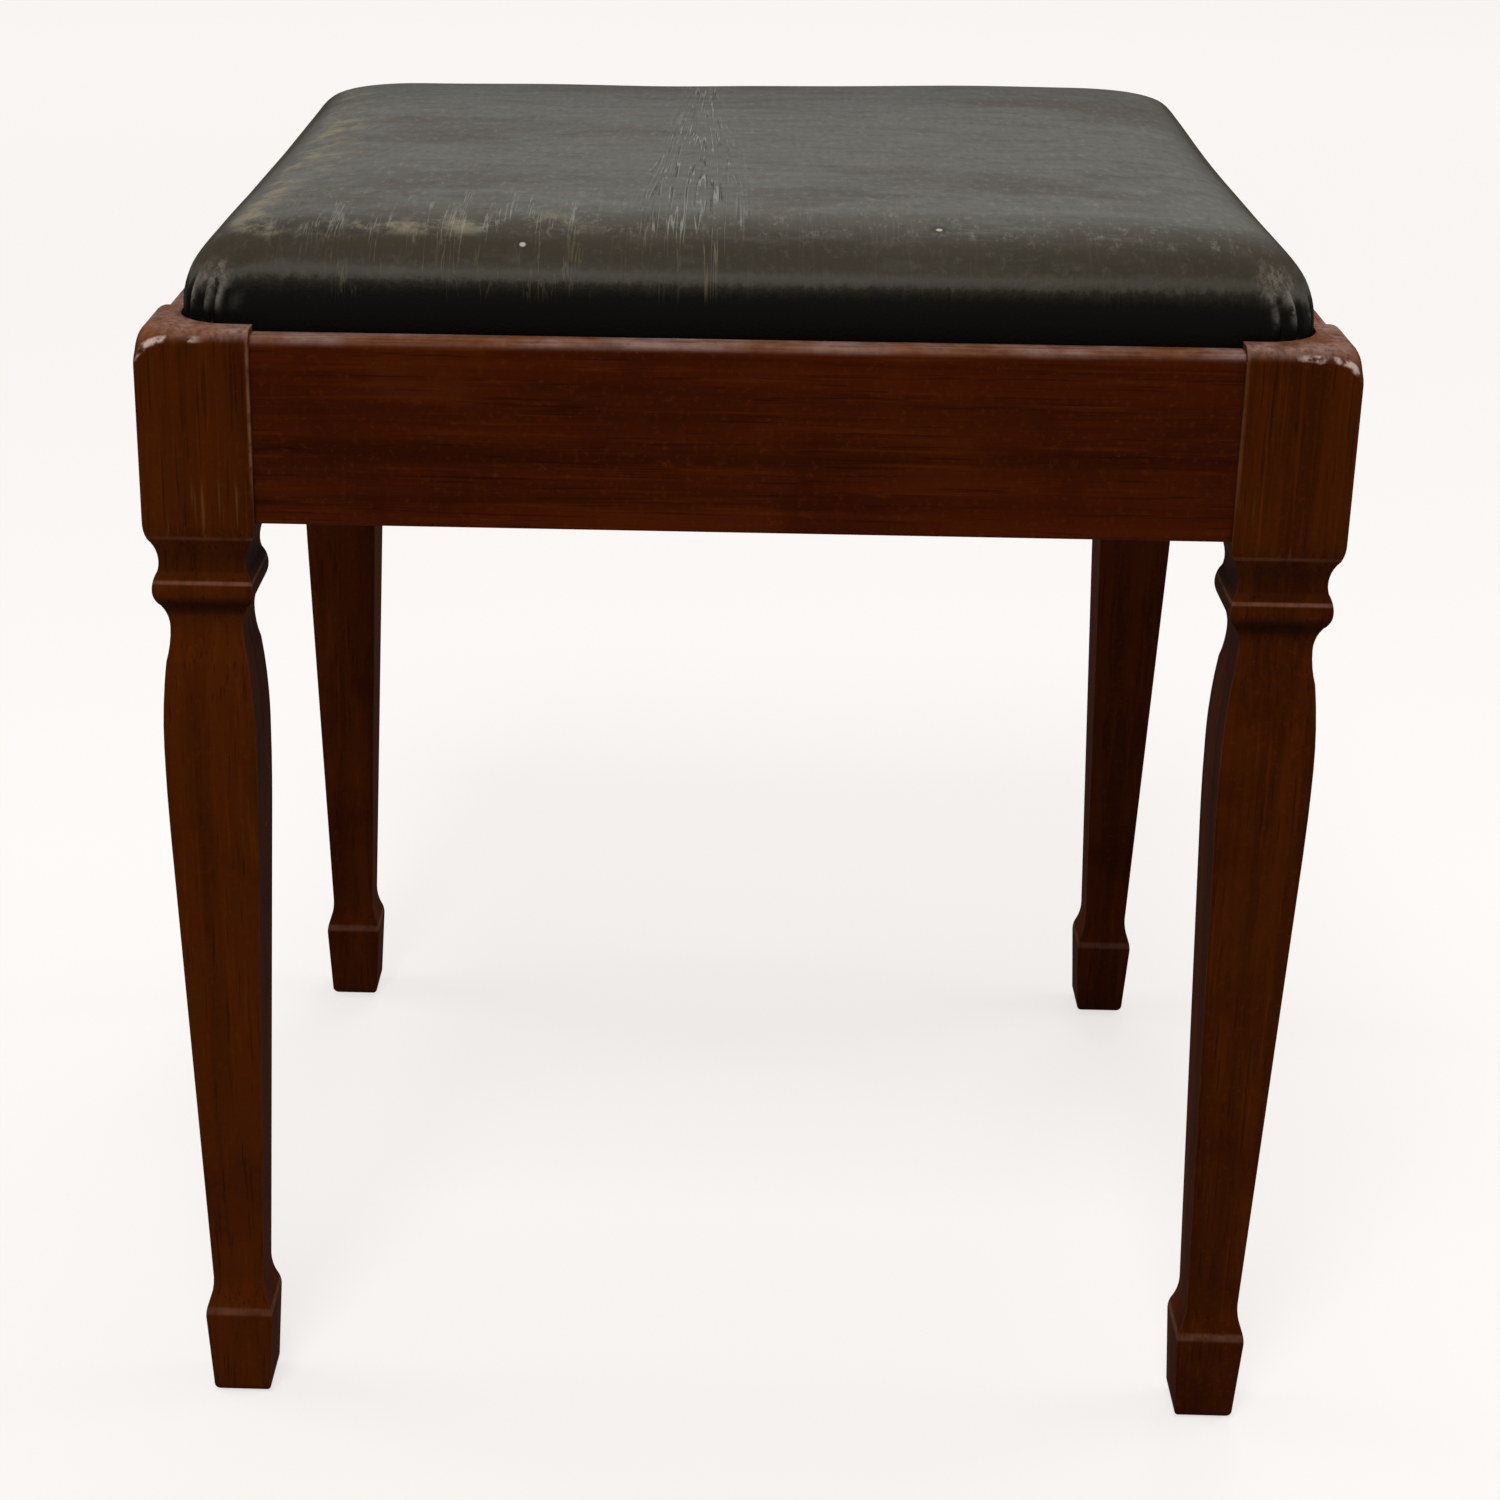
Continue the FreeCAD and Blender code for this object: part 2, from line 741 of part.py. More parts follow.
def make_board():
    """Make the board, with the same corner centres as the cover's outline."""
    body = new_body("seat_board")
    inset = size["cover_thickness"] + size["layer_gap"] + size["seat_draw_in"]
    half_x = seat_half_width - inset
    half_y = seat_half_depth - inset
    plan = new_sketch(body, "board_plan", "XY_Plane", out=size["cover_thickness"])
    draw_profile(plan, rectangle(-half_x, -half_y, half_x, half_y))
    slab = pad(body, plan, size["board_thickness"])

    def is_upright(edge):
        return edge.BoundBox.XLength + edge.BoundBox.YLength < EDGE_TOLERANCE

    fillet(body, slab, is_upright, size["seat_corner"] - inset)
    place(body, 0, 0, ledge_level)
    return body


def make_padding():
    """Make the wadding, open underneath, and the foam inside it."""
    wadding_inset = size["cover_thickness"] + size["layer_gap"]
    hollow_inset = wadding_inset + size["wadding_thickness"]
    outer = make_cushion("wadding_outside", wadding_inset, board_top)
    hollow = make_cushion("wadding_inside", hollow_inset, board_top - size["layer_gap"])
    wadding = cut("seat_wadding", outer, hollow)
    foam = make_cushion("seat_foam", hollow_inset + size["layer_gap"], board_top)
    return [wadding, foam]


def make_tack_rows(label, half_along, half_out, count, turned):
    """Make two facing rows of tacks that hold the turned-under cover to the board."""
    body = new_body(label)
    first = size["tack_end"] - half_along
    row = size["tack_inset"] - half_out
    spots = []
    for place_out in (row, -row):
        spots.append((place_out, first) if turned else (first, place_out))
    under = new_sketch(body, label + "_heads", "XY_Plane", out=-size["tack_head_height"])
    draw_circles(under, spots, size["tack_head_diameter"] / 2)
    heads = pad(body, under, size["tack_head_height"])
    above = new_sketch(body, label + "_shanks", "XY_Plane")
    draw_circles(above, spots, size["tack_shank_diameter"] / 2)
    shanks = pad(body, above, size["tack_length"])

    pattern = body.newObject("PartDesign::LinearPattern", label + "_pattern")
    pattern.Originals = [heads, shanks]
    pattern.Direction = (under, ["V_Axis" if turned else "H_Axis"])
    pattern.setExpression("Length", (-first * 2).text)
    pattern.Occurrences = count
    body.Tip = pattern
    doc.recompute()
    place(body, 0, 0, ledge_level)
    return body


def make_tacks():
    across = make_tack_rows("tacks_across", seat_half_width, seat_half_depth, TACKS_ALONG_WIDTH, False)
    deep = make_tack_rows("tacks_deep", seat_half_depth, seat_half_width, TACKS_ALONG_DEPTH, True)
    return group("cover_tacks", [across, deep])


def check(items):
    """Stop if an object failed to build or a piece is not a sound solid."""
    for item in doc.Objects:
        if "Invalid" in item.State or "Error" in item.State:
            raise ValueError(f"{item.Label} did not build: {item.State}")
    for item in items:
        if item.Shape.isNull() or not item.Shape.isValid() or not item.Shape.Solids:
            raise ValueError(f"{item.Label} is not a sound solid")


pieces = []
for name, turns in CORNERS.items():
    pieces.append(make_leg(name, turns))
for name, turns in SIDES.items():
    pieces.append(make_rail(name, turns))
for name, turns in CORNERS.items():
    pieces.append(make_corner_block(name, turns))
pieces.append(group("rail_dowels", [make_dowels(name, turns) for name, turns in CORNERS.items()]))
pieces.append(group("corner_block_screws", [make_screws(name, turns) for name, turns in CORNERS.items()]))
pieces.append(make_board())
pieces.extend(make_padding())
pieces.append(make_cover())
pieces.append(make_tacks())

doc.recompute()
check(pieces)
os.makedirs("parts", exist_ok=True)
for piece in pieces:
    piece.Shape.exportStep(f"parts/{piece.Label}.step")
    print(piece.Label, len(piece.Shape.Solids), round(piece.Shape.Volume))
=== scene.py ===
import math

import bpy
import numpy as np
from mathutils import Matrix, Vector, noise
from mathutils.bvhtree import BVHTree


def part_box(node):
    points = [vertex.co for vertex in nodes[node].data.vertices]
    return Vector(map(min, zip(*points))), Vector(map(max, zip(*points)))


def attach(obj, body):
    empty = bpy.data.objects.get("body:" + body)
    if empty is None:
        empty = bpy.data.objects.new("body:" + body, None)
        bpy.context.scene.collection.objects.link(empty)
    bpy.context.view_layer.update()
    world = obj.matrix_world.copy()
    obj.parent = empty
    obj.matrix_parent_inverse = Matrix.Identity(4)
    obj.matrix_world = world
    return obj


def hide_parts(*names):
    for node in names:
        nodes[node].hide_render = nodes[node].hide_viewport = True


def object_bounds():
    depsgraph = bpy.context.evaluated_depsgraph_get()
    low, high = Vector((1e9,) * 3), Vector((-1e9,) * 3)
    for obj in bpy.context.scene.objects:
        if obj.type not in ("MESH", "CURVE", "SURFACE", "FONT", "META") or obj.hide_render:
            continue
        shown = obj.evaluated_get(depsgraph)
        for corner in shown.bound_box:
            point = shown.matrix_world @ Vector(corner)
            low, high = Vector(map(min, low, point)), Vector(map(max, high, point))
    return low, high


# Looks of the vanity stool: worn mahogany stain on the frame, and cracked black leathercloth on
# the slip seat. Metres, in the frame of the solids: +Z up, the front towards -Y.

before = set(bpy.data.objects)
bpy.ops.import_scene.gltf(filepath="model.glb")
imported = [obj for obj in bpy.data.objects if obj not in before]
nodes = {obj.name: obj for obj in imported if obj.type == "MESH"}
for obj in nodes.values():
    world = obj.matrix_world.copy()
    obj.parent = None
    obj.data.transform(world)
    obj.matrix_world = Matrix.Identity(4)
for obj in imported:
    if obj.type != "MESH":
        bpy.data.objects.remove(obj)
cad_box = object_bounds()

MM = 0.001
CORNERS = ("front_left", "front_right", "rear_right", "rear_left")
SIDES = ("front", "right", "rear", "left")

# Places that the solids give.
leg_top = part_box("leg_front_left")[1].z
leg_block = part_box("leg_front_left")[1].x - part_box("leg_front_left")[0].x
leg_inner = cad_box[1].x - leg_block
rail_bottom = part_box("rail_front")[0].z
seat_low, seat_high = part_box("seat_cover")


# Node graphs

class Graph:
    """The node tree of a material or a world, built by naming each node and what goes into it."""

    def __init__(self, owner):
        self.owner = owner
        owner.use_nodes = True
        self.tree = owner.node_tree
        self.tree.nodes.clear()

    def add(self, kind, inputs=None, **settings):
        """Add a node; an input is a number, a colour or another node's output."""
        node = self.tree.nodes.new(kind)
        for name, setting in settings.items():
            setattr(node, name, setting)
        for name, source in (inputs or {}).items():
            if isinstance(source, bpy.types.NodeSocket):
                self.tree.links.new(source, node.inputs[name])
            else:
                node.inputs[name].default_value = source
        return node

    def math(self, operation, first, second=0.0):
        return self.add("ShaderNodeMath", {0: first, 1: second}, operation=operation).outputs[0]

    def times(self, first, second):
        return self.math("MULTIPLY", first, second)

    def measure(self, operation, first, second=(0, 0, 0)):
        """Return the number that an operation on vectors gives, such as a distance."""
        node = self.add("ShaderNodeVectorMath", {0: first, 1: second}, operation=operation)
        return node.outputs["Value"]

    def axis(self, vector, name):
        return self.add("ShaderNodeSeparateXYZ", {0: vector}).outputs[name]

    def ramp(self, value, low, high, start=0.0, end=1.0):
        """Go smoothly from start to end while value goes from low to high."""
        node = self.add("ShaderNodeMapRange", {"Value": value, "From Min": low, "From Max": high,
                                               "To Min": start, "To Max": end},
                        interpolation_type="SMOOTHSTEP")
        return node.outputs["Result"]

    def stripe(self, value, middle, half_width):
        """Return a soft line where the value is near the middle."""
        away = self.math("ABSOLUTE", self.math("SUBTRACT", value, middle))
        return self.ramp(away, half_width, half_width * 0.25)

    def mix(self, share, first, second):
        """Mix two colours."""
        node = self.add("ShaderNodeMix", {0: share, 6: first, 7: second}, data_type="RGBA")
        return node.outputs[2]

    def noise(self, place, scale, detail=3.0, roughness=0.5, distortion=0.0):
        node = self.add("ShaderNodeTexNoise", {"Vector": place, "Scale": scale, "Detail": detail,
                                               "Roughness": roughness, "Distortion": distortion})
        return node.outputs["Fac"]

    def stretch(self, place, scale, shift=(0, 0, 0)):
        node = self.add("ShaderNodeMapping", {"Vector": place, "Location": shift, "Scale": scale})
        return node.outputs["Vector"]

    def place(self):
        return self.add("ShaderNodeTexCoord").outputs["Object"]

    def bump(self, height, distance, normal=None):
        inputs = {"Height": height, "Distance": distance}
        if normal is not None:
            inputs["Normal"] = normal
        return self.add("ShaderNodeBump", inputs).outputs["Normal"]

    def background_seen(self):
        """Return 1 for the rays that show the background, and 0 for those that light the object."""
        rays = self.add("ShaderNodeLightPath").outputs
        mirrored = self.math("MAXIMUM", rays["Is Glossy Ray"], rays["Is Transmission Ray"])
        return self.math("MAXIMUM", rays["Is Camera Ray"], mirrored)

    def finish(self, **inputs):
        """End in a Principled shader whose sockets are named with underscores."""
        named = {name.replace("_", " "): source for name, source in inputs.items()}
        shader = self.add("ShaderNodeBsdfPrincipled", named)
        self.add("ShaderNodeOutputMaterial", {"Surface": shader.outputs[0]})
        return self.owner


def material_graph(name):
    return Graph(bpy.data.materials.new(name))


def colour(red, green, blue):
    """Turn display values of 0 to 255 into a scene colour."""
    linear = []
    for value in (red, green, blue):
        share = value / 255
        linear.append(share / 12.92 if share <= 0.04045 else ((share + 0.055) / 1.055) ** 2.4)
    return (*linear, 1.0)


def edge_mask(graph, radius):
    """Return how sharply the surface turns within this radius, and the normal rounded by it."""
    rounded = graph.add("ShaderNodeBevel", {"Radius": radius}, samples=6).outputs["Normal"]
    flat = graph.add("ShaderNodeNewGeometry").outputs["True Normal"]
    turn = graph.math("SUBTRACT", 1.0, graph.measure("DOT_PRODUCT", rounded, flat))
    return turn, rounded


# Wood

# The grain's scale along its axis, as a share of its scale across.
STAINED_FIBRES = 0.03
PLAIN_FIBRES = 0.05

# The thickness of a light and a dark ply together.
PLY_PAIR = 4 * MM

# Levels of a leg's hollows, arrises and scratches, from the rails' bottom edge or the floor.
BLOCK_ARRIS = rail_bottom - 6 * MM
HOLLOW = rail_bottom - 16 * MM
BEAD_ARRIS = rail_bottom - 23.4 * MM
BEAD_UNDERSIDE = rail_bottom - 33 * MM
FOOT_ARRIS = 40 * MM
BLOCK_SCRATCHES = rail_bottom + 5 * MM
SCRATCH_REACH = 15 * MM

# The bands of painted shade and the painted highlight lines of a leg: level, half width and strength.
PAINTED_SHADE_BANDS = ((HOLLOW, 9 * MM, 0.45), (BEAD_UNDERSIDE, 5 * MM, 0.6))
PAINTED_HIGHLIGHT_LINES = ((BLOCK_ARRIS, 1.2 * MM, 0.25), (BEAD_ARRIS, 1.1 * MM, 0.7), (FOOT_ARRIS, 2.4 * MM, 0.5))

# The painted highlight where a leg meets the rail: its half width, the levels between which it comes in,
# and how far to the right of the middle it is faintest.
JOINT_LINE = 1.6 * MM
JOINT_FROM, JOINT_TO = rail_bottom + 4 * MM, rail_bottom + 30 * MM
JOINT_FAINT = 100 * MM

# Where the frame's lighter top, part wear and part painted sheen, begins and is full, and the same for its
# chipped outer corners.
TOP_FROM, TOP_FULL = leg_top - 22 * MM, leg_top - 5 * MM
CHIPS_FROM, CHIPS_FULL = cad_box[1].x - 26 * MM, cad_box[1].x - 18 * MM


def wear_leg(graph, tone, fibres, patchy):
    """Paint shade into a leg's hollow and under its bead, paint highlights on its arrises and at the joint
    with the rail, and scratch the foot of its block.
    """
    place = graph.place()
    x, z = (graph.axis(place, name) for name in "XZ")
    # Painted shade: darker bands in the hollow under the block and under the bead, where shade falls.
    for level, half_width, share in PAINTED_SHADE_BANDS:
        dirt_and_shade = graph.times(graph.stripe(z, level, half_width), share)
        tone = graph.mix(dirt_and_shade, tone, colour(22, 7, 1))
    # Painted highlight: light lines along the arrises of the block, the bead and the foot.
    for level, half_width, share in PAINTED_HIGHLIGHT_LINES:
        highlight_line = graph.times(graph.stripe(z, level, half_width), share)
        highlight_line = graph.times(highlight_line, graph.ramp(patchy, 0.32, 0.6, 0.45, 1.0))
        tone = graph.mix(highlight_line, tone, colour(118, 78, 62))

    # Painted highlight on the leg's arris at the joint with the rail, fainter on the right.
    joint_highlight = graph.stripe(graph.math("ABSOLUTE", x), leg_inner, JOINT_LINE)
    joint_highlight = graph.times(joint_highlight, graph.ramp(z, JOINT_FROM, JOINT_TO))
    joint_highlight = graph.times(joint_highlight, graph.ramp(patchy, 0.3, 0.6, 0.3, 0.9))
    joint_highlight = graph.times(joint_highlight, graph.ramp(x, 0.0, JOINT_FAINT, 1.0, 0.35))
    tone = graph.mix(joint_highlight, tone, colour(112, 74, 50))

    scratch = graph.ramp(graph.noise(fibres, 380, 2, 0.5), 0.6, 0.68)
    scratch = graph.times(scratch, graph.stripe(z, BLOCK_SCRATCHES, SCRATCH_REACH))
    return graph.mix(graph.times(scratch, 0.4), tone, colour(104, 72, 38))


def wear_top(graph, tone, place, rounded, wear, blotch):
    """Lighten the frame's top, part wear and part painted sheen, and chip its outer corners; return the tone
    and the share of the lightened top.
    """
    x, z = (graph.axis(place, name) for name in "XZ")
    forward, upward = (graph.axis(rounded, name) for name in "YZ")
    # Part wear and part painted sheen: faces that look up near the top are lighter and pinker.
    high = graph.ramp(z, TOP_FROM, TOP_FULL)
    worn = graph.times(graph.times(graph.ramp(upward, 0.15, 0.95), high),
                       graph.ramp(wear, 0.36, 0.62, 0.3, 0.9))
    bare_wood_and_sheen = graph.mix(graph.ramp(blotch, 0.4, 0.6), colour(104, 66, 44), colour(130, 104, 95))
    tone = graph.mix(worn, tone, bare_wood_and_sheen)

    arris = graph.math("ABSOLUTE", forward)
    arris = graph.times(graph.ramp(arris, 0.72, 0.84), graph.ramp(arris, 0.985, 0.95))
    outer = graph.ramp(graph.math("ABSOLUTE", x), CHIPS_FROM, CHIPS_FULL)
    chip = graph.times(graph.times(high, arris), outer)
    chip = graph.times(chip, graph.ramp(graph.noise(place, 75, 4, 0.7), 0.45, 0.58, 0, 0.9))
    return graph.mix(chip, tone, colour(190, 164, 152)), worn


def add_specks(graph, tone, place):
    """Scatter a few small pale specks."""
    cells = graph.add("ShaderNodeTexVoronoi", {"Vector": place, "Scale": 34.0, "Randomness": 1.0}).outputs
    speck = graph.ramp(cells["Distance"], 0.045, 0.03)
    speck = graph.times(speck, graph.ramp(graph.axis(cells["Color"], "X"), 0.88, 0.92))
    return graph.mix(speck, tone, colour(150, 120, 100))


def stained_wood(name, grain, shift, tones, leg=False):
    """Dark red-brown stained mahogany, its grain along one axis, with lighter edges and tops that are part
    wear and part painted highlight and sheen.
    """
    graph = material_graph(name)
    place = graph.place()
    fibres = graph.stretch(place, [STAINED_FIBRES if axis == grain else 1.0 for axis in "xyz"], shift)
    figure = graph.noise(fibres, 70, 5, 0.6, 0.7)
    fine = graph.noise(fibres, 420, 5, 0.65)
    pore = graph.noise(graph.stretch(fibres, (1, 1, 1), (3, 5, 7)), 900, 2, 0.5)
    pore = graph.ramp(pore, 0.6, 0.7)
    blotch = graph.noise(graph.stretch(place, (1, 1, 1), shift), 16, 5, 0.6)
    mottle = graph.noise(place, 380, 4, 0.7)
    patchy = graph.noise(place, 120, 4, 0.7)
    turn, rounded = edge_mask(graph, 1.2 * MM)

    tone = graph.mix(graph.ramp(figure, 0.32, 0.68), *tones)
    for share, shade in ((graph.ramp(fine, 0.5, 0.76, 0, 0.4), colour(94, 42, 8)),
                         (graph.ramp(blotch, 0.5, 0.68, 0, 0.6), colour(44, 11, 2)),
                         (graph.ramp(blotch, 0.48, 0.3, 0, 0.5), colour(72, 30, 4)),
                         (graph.ramp(mottle, 0.52, 0.75, 0, 0.4), colour(88, 40, 10)),
                         (graph.times(pore, 0.4), colour(16, 5, 1))):
        tone = graph.mix(share, tone, shade)

    # Lighter arrises, part edge wear and part painted highlight.
    rub_and_highlight = graph.ramp(graph.math("ADD", turn, graph.times(patchy, 0.30)), 0.20, 0.46)
    tone = graph.mix(graph.times(rub_and_highlight, 0.5), tone, colour(112, 68, 46))
    if leg:
        tone = wear_leg(graph, tone, fibres, patchy)
    wear = graph.math("ADD", graph.times(fine, 0.6), graph.times(patchy, 0.4))
    tone, top_wear_and_sheen = wear_top(graph, tone, place, rounded, wear, blotch)
    tone = add_specks(graph, tone, place)

    rough = graph.ramp(fine, 0.3, 0.7, 0.42, 0.58)
    rough = graph.math("ADD", rough, graph.times(top_wear_and_sheen, 0.12))
    relief = graph.math("SUBTRACT", graph.times(fine, 0.5), pore)
    normal = graph.bump(relief, 0.08 * MM, rounded)
    return graph.finish(Base_Color=tone, Roughness=rough, Normal=normal, Specular_IOR_Level=0.0,
                        Coat_Weight=0.03, Coat_Roughness=0.35, Coat_Normal=rounded)


def plain_wood(name, grain, light, dark, layers=False):
    """Bare wood, such as a sawn block; with layers it shows a plywood board's plies at its edges."""
    graph = material_graph(name)
    place = graph.place()
    fibres = graph.stretch(place, [PLAIN_FIBRES if axis == grain else 1.0 for axis in "xyz"])
    figure = graph.noise(fibres, 60, 4, 0.55, 0.8)
    fine = graph.noise(fibres, 500, 4, 0.6)
    tone = graph.mix(graph.ramp(figure, 0.3, 0.7), dark, light)
    tone = graph.mix(graph.ramp(fine, 0.55, 0.8, 0, 0.5), tone, dark)
    if layers:
        ply = graph.math("SINE", graph.times(graph.axis(place, "Z"), math.tau / PLY_PAIR))
        normal = graph.add("ShaderNodeNewGeometry").outputs["Normal"]
        edge = graph.ramp(graph.math("ABSOLUTE", graph.axis(normal, "Z")), 0.6, 0.3)
        tone = graph.mix(graph.times(graph.ramp(ply, -0.2, 0.2), edge), tone, dark)
    dirt_and_shade = graph.noise(place, 14, 4, 0.6)
    tone = graph.mix(graph.ramp(dirt_and_shade, 0.5, 0.75, 0, 0.35), tone, colour(60, 42, 28))
    normal = graph.bump(fine, 0.12 * MM, edge_mask(graph, 0.6 * MM)[1])
    return graph.finish(Base_Color=tone, Roughness=graph.ramp(fine, 0.3, 0.7, 0.6, 0.8), Normal=normal,
                        Specular_IOR_Level=0.25)


# Metal

def dull_steel(name):
    """Grey steel with a dull oxide and small dark spots."""
    graph = material_graph(name)
    place = graph.place()
    cloud = graph.noise(place, 260, 4, 0.6)
    tone = graph.mix(graph.ramp(cloud, 0.35, 0.7), colour(112, 108, 104), colour(66, 60, 56))
    rust = graph.ramp(graph.noise(place, 520, 3, 0.6), 0.6, 0.7, 0, 0.6)
    tone = graph.mix(rust, tone, colour(84, 50, 32))
    normal = graph.bump(cloud, 0.05 * MM, edge_mask(graph, 0.25 * MM)[1])
    return graph.finish(Base_Color=tone, Roughness=graph.ramp(cloud, 0.3, 0.7, 0.35, 0.55), Metallic=0.9,
                        Normal=normal)


# Upholstery

# Marks on the cover, by their places in millimetres: two pale flecks and the worn front corners.
FLECKS = ((-80, -176.2, 474.5), (68.8, -163, 479))
FLECK_RADIUS = 1.5 * MM
FLECK_RING = 4.5 * MM
WORN_CORNERS = (((186.8, -182.2, 465.8), 12 * MM), ((-189, -184, 463), 10 * MM))

# The fan of cracks: the line it lies on, and its half width at its back and its front.
FAN_X = -20 * MM
FAN_BACK, FAN_FRONT = 150 * MM, -170 * MM
FAN_NARROW, FAN_WIDE = 7 * MM, 21 * MM

# The cracks over the front edge, which gather on the left.
FRONT_CRACKS_X = -105 * MM
FRONT_CRACKS_REACH, FRONT_CRACKS_CORE = 75 * MM, 30 * MM
FRONT_CRACKS_FROM, FRONT_CRACKS_TO = -105 * MM, -140 * MM

# Where the painted grey sheen on top gives way to the painted brown reflection at the front, how far
# that line wanders, and where painted shade darkens the top towards the back.
BROWN_FROM, BROWN_TO = -126 * MM, -162 * MM
BROWN_WANDER = 24 * MM
DARK_FROM, DARK_TO = 40 * MM, 185 * MM

# Where the roll's upper edge is rubbed, from little to most.
RUB_FROM, RUB_TO = -20 * MM, -110 * MM


def spot(graph, place, centre, radius, core=0.5):
    """Return a round mark at one place, given in millimetres, that fades out beyond its core."""
    away = graph.measure("DISTANCE", place, tuple(part * MM for part in centre))
    return graph.ramp(away, radius, radius * core)


def crack_fan(graph, x, y):
    """Return the light and dark lines of the cracks that fan out from the back of the seat."""
    spread = graph.ramp(y, FAN_BACK, FAN_FRONT, FAN_NARROW, FAN_WIDE)
    aside = graph.math("DIVIDE", graph.math("SUBTRACT", x, FAN_X), spread)
    fan = graph.add("ShaderNodeCombineXYZ", {0: aside, 1: y}).outputs[0]
    lines = graph.noise(graph.stretch(fan, (1.0, 1.6, 1.0)), 5, 2, 0.5, 0.1)
    broken = graph.noise(graph.stretch(fan, (1.0, 14.0, 1.0)), 3, 3, 0.6)
    within = graph.times(graph.ramp(graph.math("ABSOLUTE", aside), 1.4, 0.3), graph.ramp(broken, 0.4, 0.58))
    return [graph.times(graph.stripe(lines, middle, 0.022), within) for middle in (0.5, 0.55)]


def front_cracks(graph, place, x, y):
    """Return the short cracks over the front edge, most of them on the left."""
    lines = graph.noise(graph.stretch(place, (1.0, 0.03, 0.08)), 330, 3, 0.6, 0.3)
    aside = graph.math("ABSOLUTE", graph.math("SUBTRACT", x, FRONT_CRACKS_X))
    share = graph.times(graph.ramp(aside, FRONT_CRACKS_REACH, FRONT_CRACKS_CORE, 0.1, 0.6),
                        graph.ramp(y, FRONT_CRACKS_FROM, FRONT_CRACKS_TO))
    broken = graph.ramp(graph.noise(graph.stretch(place, (1.0, 0.25, 0.4)), 110, 3, 0.6), 0.44, 0.58)
    return graph.times(graph.stripe(lines, 0.5, 0.024), graph.times(share, broken))


def varied(graph, value, variation, amount):
    """Add a variation that is as often below zero as above it."""
    return graph.math("ADD", value, graph.times(graph.math("SUBTRACT", variation, 0.5), amount))


def cover_ground(graph, place, y, upward, lifted, cloud, mottle):
    """Return the cover's tone before its marks: its own black below, a painted brown reflection on the roll,
    a painted grey sheen on top that is partly greying from wear, and painted shade towards the back.
    """
    brushed = graph.noise(graph.stretch(place, (0.3, 1.0, 1.0)), 120, 5, 0.65)
    edge = varied(graph, upward, mottle, 0.3)
    # Painted reflection: brown on the roll, over the cover's own black on the side.
    tone = graph.mix(graph.ramp(edge, 0.22, 0.62), colour(5, 4, 2), colour(44, 39, 29))
    # Painted sheen, partly greying from wear: grey where the top faces up, giving way to the brown reflection
    # at the front.
    back_from_roll = graph.math("ADD", y, graph.times(cloud, BROWN_WANDER))
    top = graph.times(graph.ramp(varied(graph, upward, cloud, 0.08), 0.78, 1.0),
                      graph.ramp(back_from_roll, BROWN_TO, BROWN_FROM))
    tone = graph.mix(top, tone, colour(81, 81, 77))
    # Painted highlight: a faint greyer band low on the roll, above the black side.
    tone = graph.mix(graph.times(graph.stripe(edge, 0.52, 0.14), 0.3), tone, colour(76, 74, 68))
    for value, low, high, share, shade in ((brushed, 0.45, 0.72, 0.45, colour(66, 59, 55)),
                                           (brushed, 0.48, 0.28, 0.3, colour(94, 97, 92)),
                                           (cloud, 0.48, 0.66, 0.5, colour(60, 54, 48)),
                                           (mottle, 0.52, 0.7, 0.4, colour(108, 105, 98)),
                                           (mottle, 0.48, 0.3, 0.35, colour(54, 50, 47))):
        tone = graph.mix(graph.times(lifted, graph.ramp(value, low, high, 0, share)), tone, shade)
    # Painted shade: the top darkens towards the back.
    return graph.mix(graph.ramp(y, DARK_FROM, DARK_TO, 0, 0.45), tone, colour(40, 36, 33))


def cover_marks(graph, tone, place, mottle):
    """Add the flecks, the worn corners and the scuffed pleats."""
    for centre in FLECKS:
        ring = graph.times(spot(graph, place, centre, FLECK_RING), 0.6)
        tone = graph.mix(ring, tone, colour(44, 36, 28))
        tone = graph.mix(spot(graph, place, centre, FLECK_RADIUS), tone, colour(150, 142, 128))
    for centre, radius in WORN_CORNERS:
        worn = graph.times(spot(graph, place, centre, radius, core=0.0),
                           graph.ramp(mottle, 0.4, 0.62, 0.05, 0.5))
        tone = graph.mix(worn, tone, colour(126, 118, 108))
    fold = graph.add("ShaderNodeAttribute", attribute_name="fold_wear").outputs["Fac"]
    scuffed = graph.times(fold, graph.ramp(mottle, 0.3, 0.55))
    return graph.mix(graph.times(scuffed, 0.75), tone, colour(112, 107, 99))


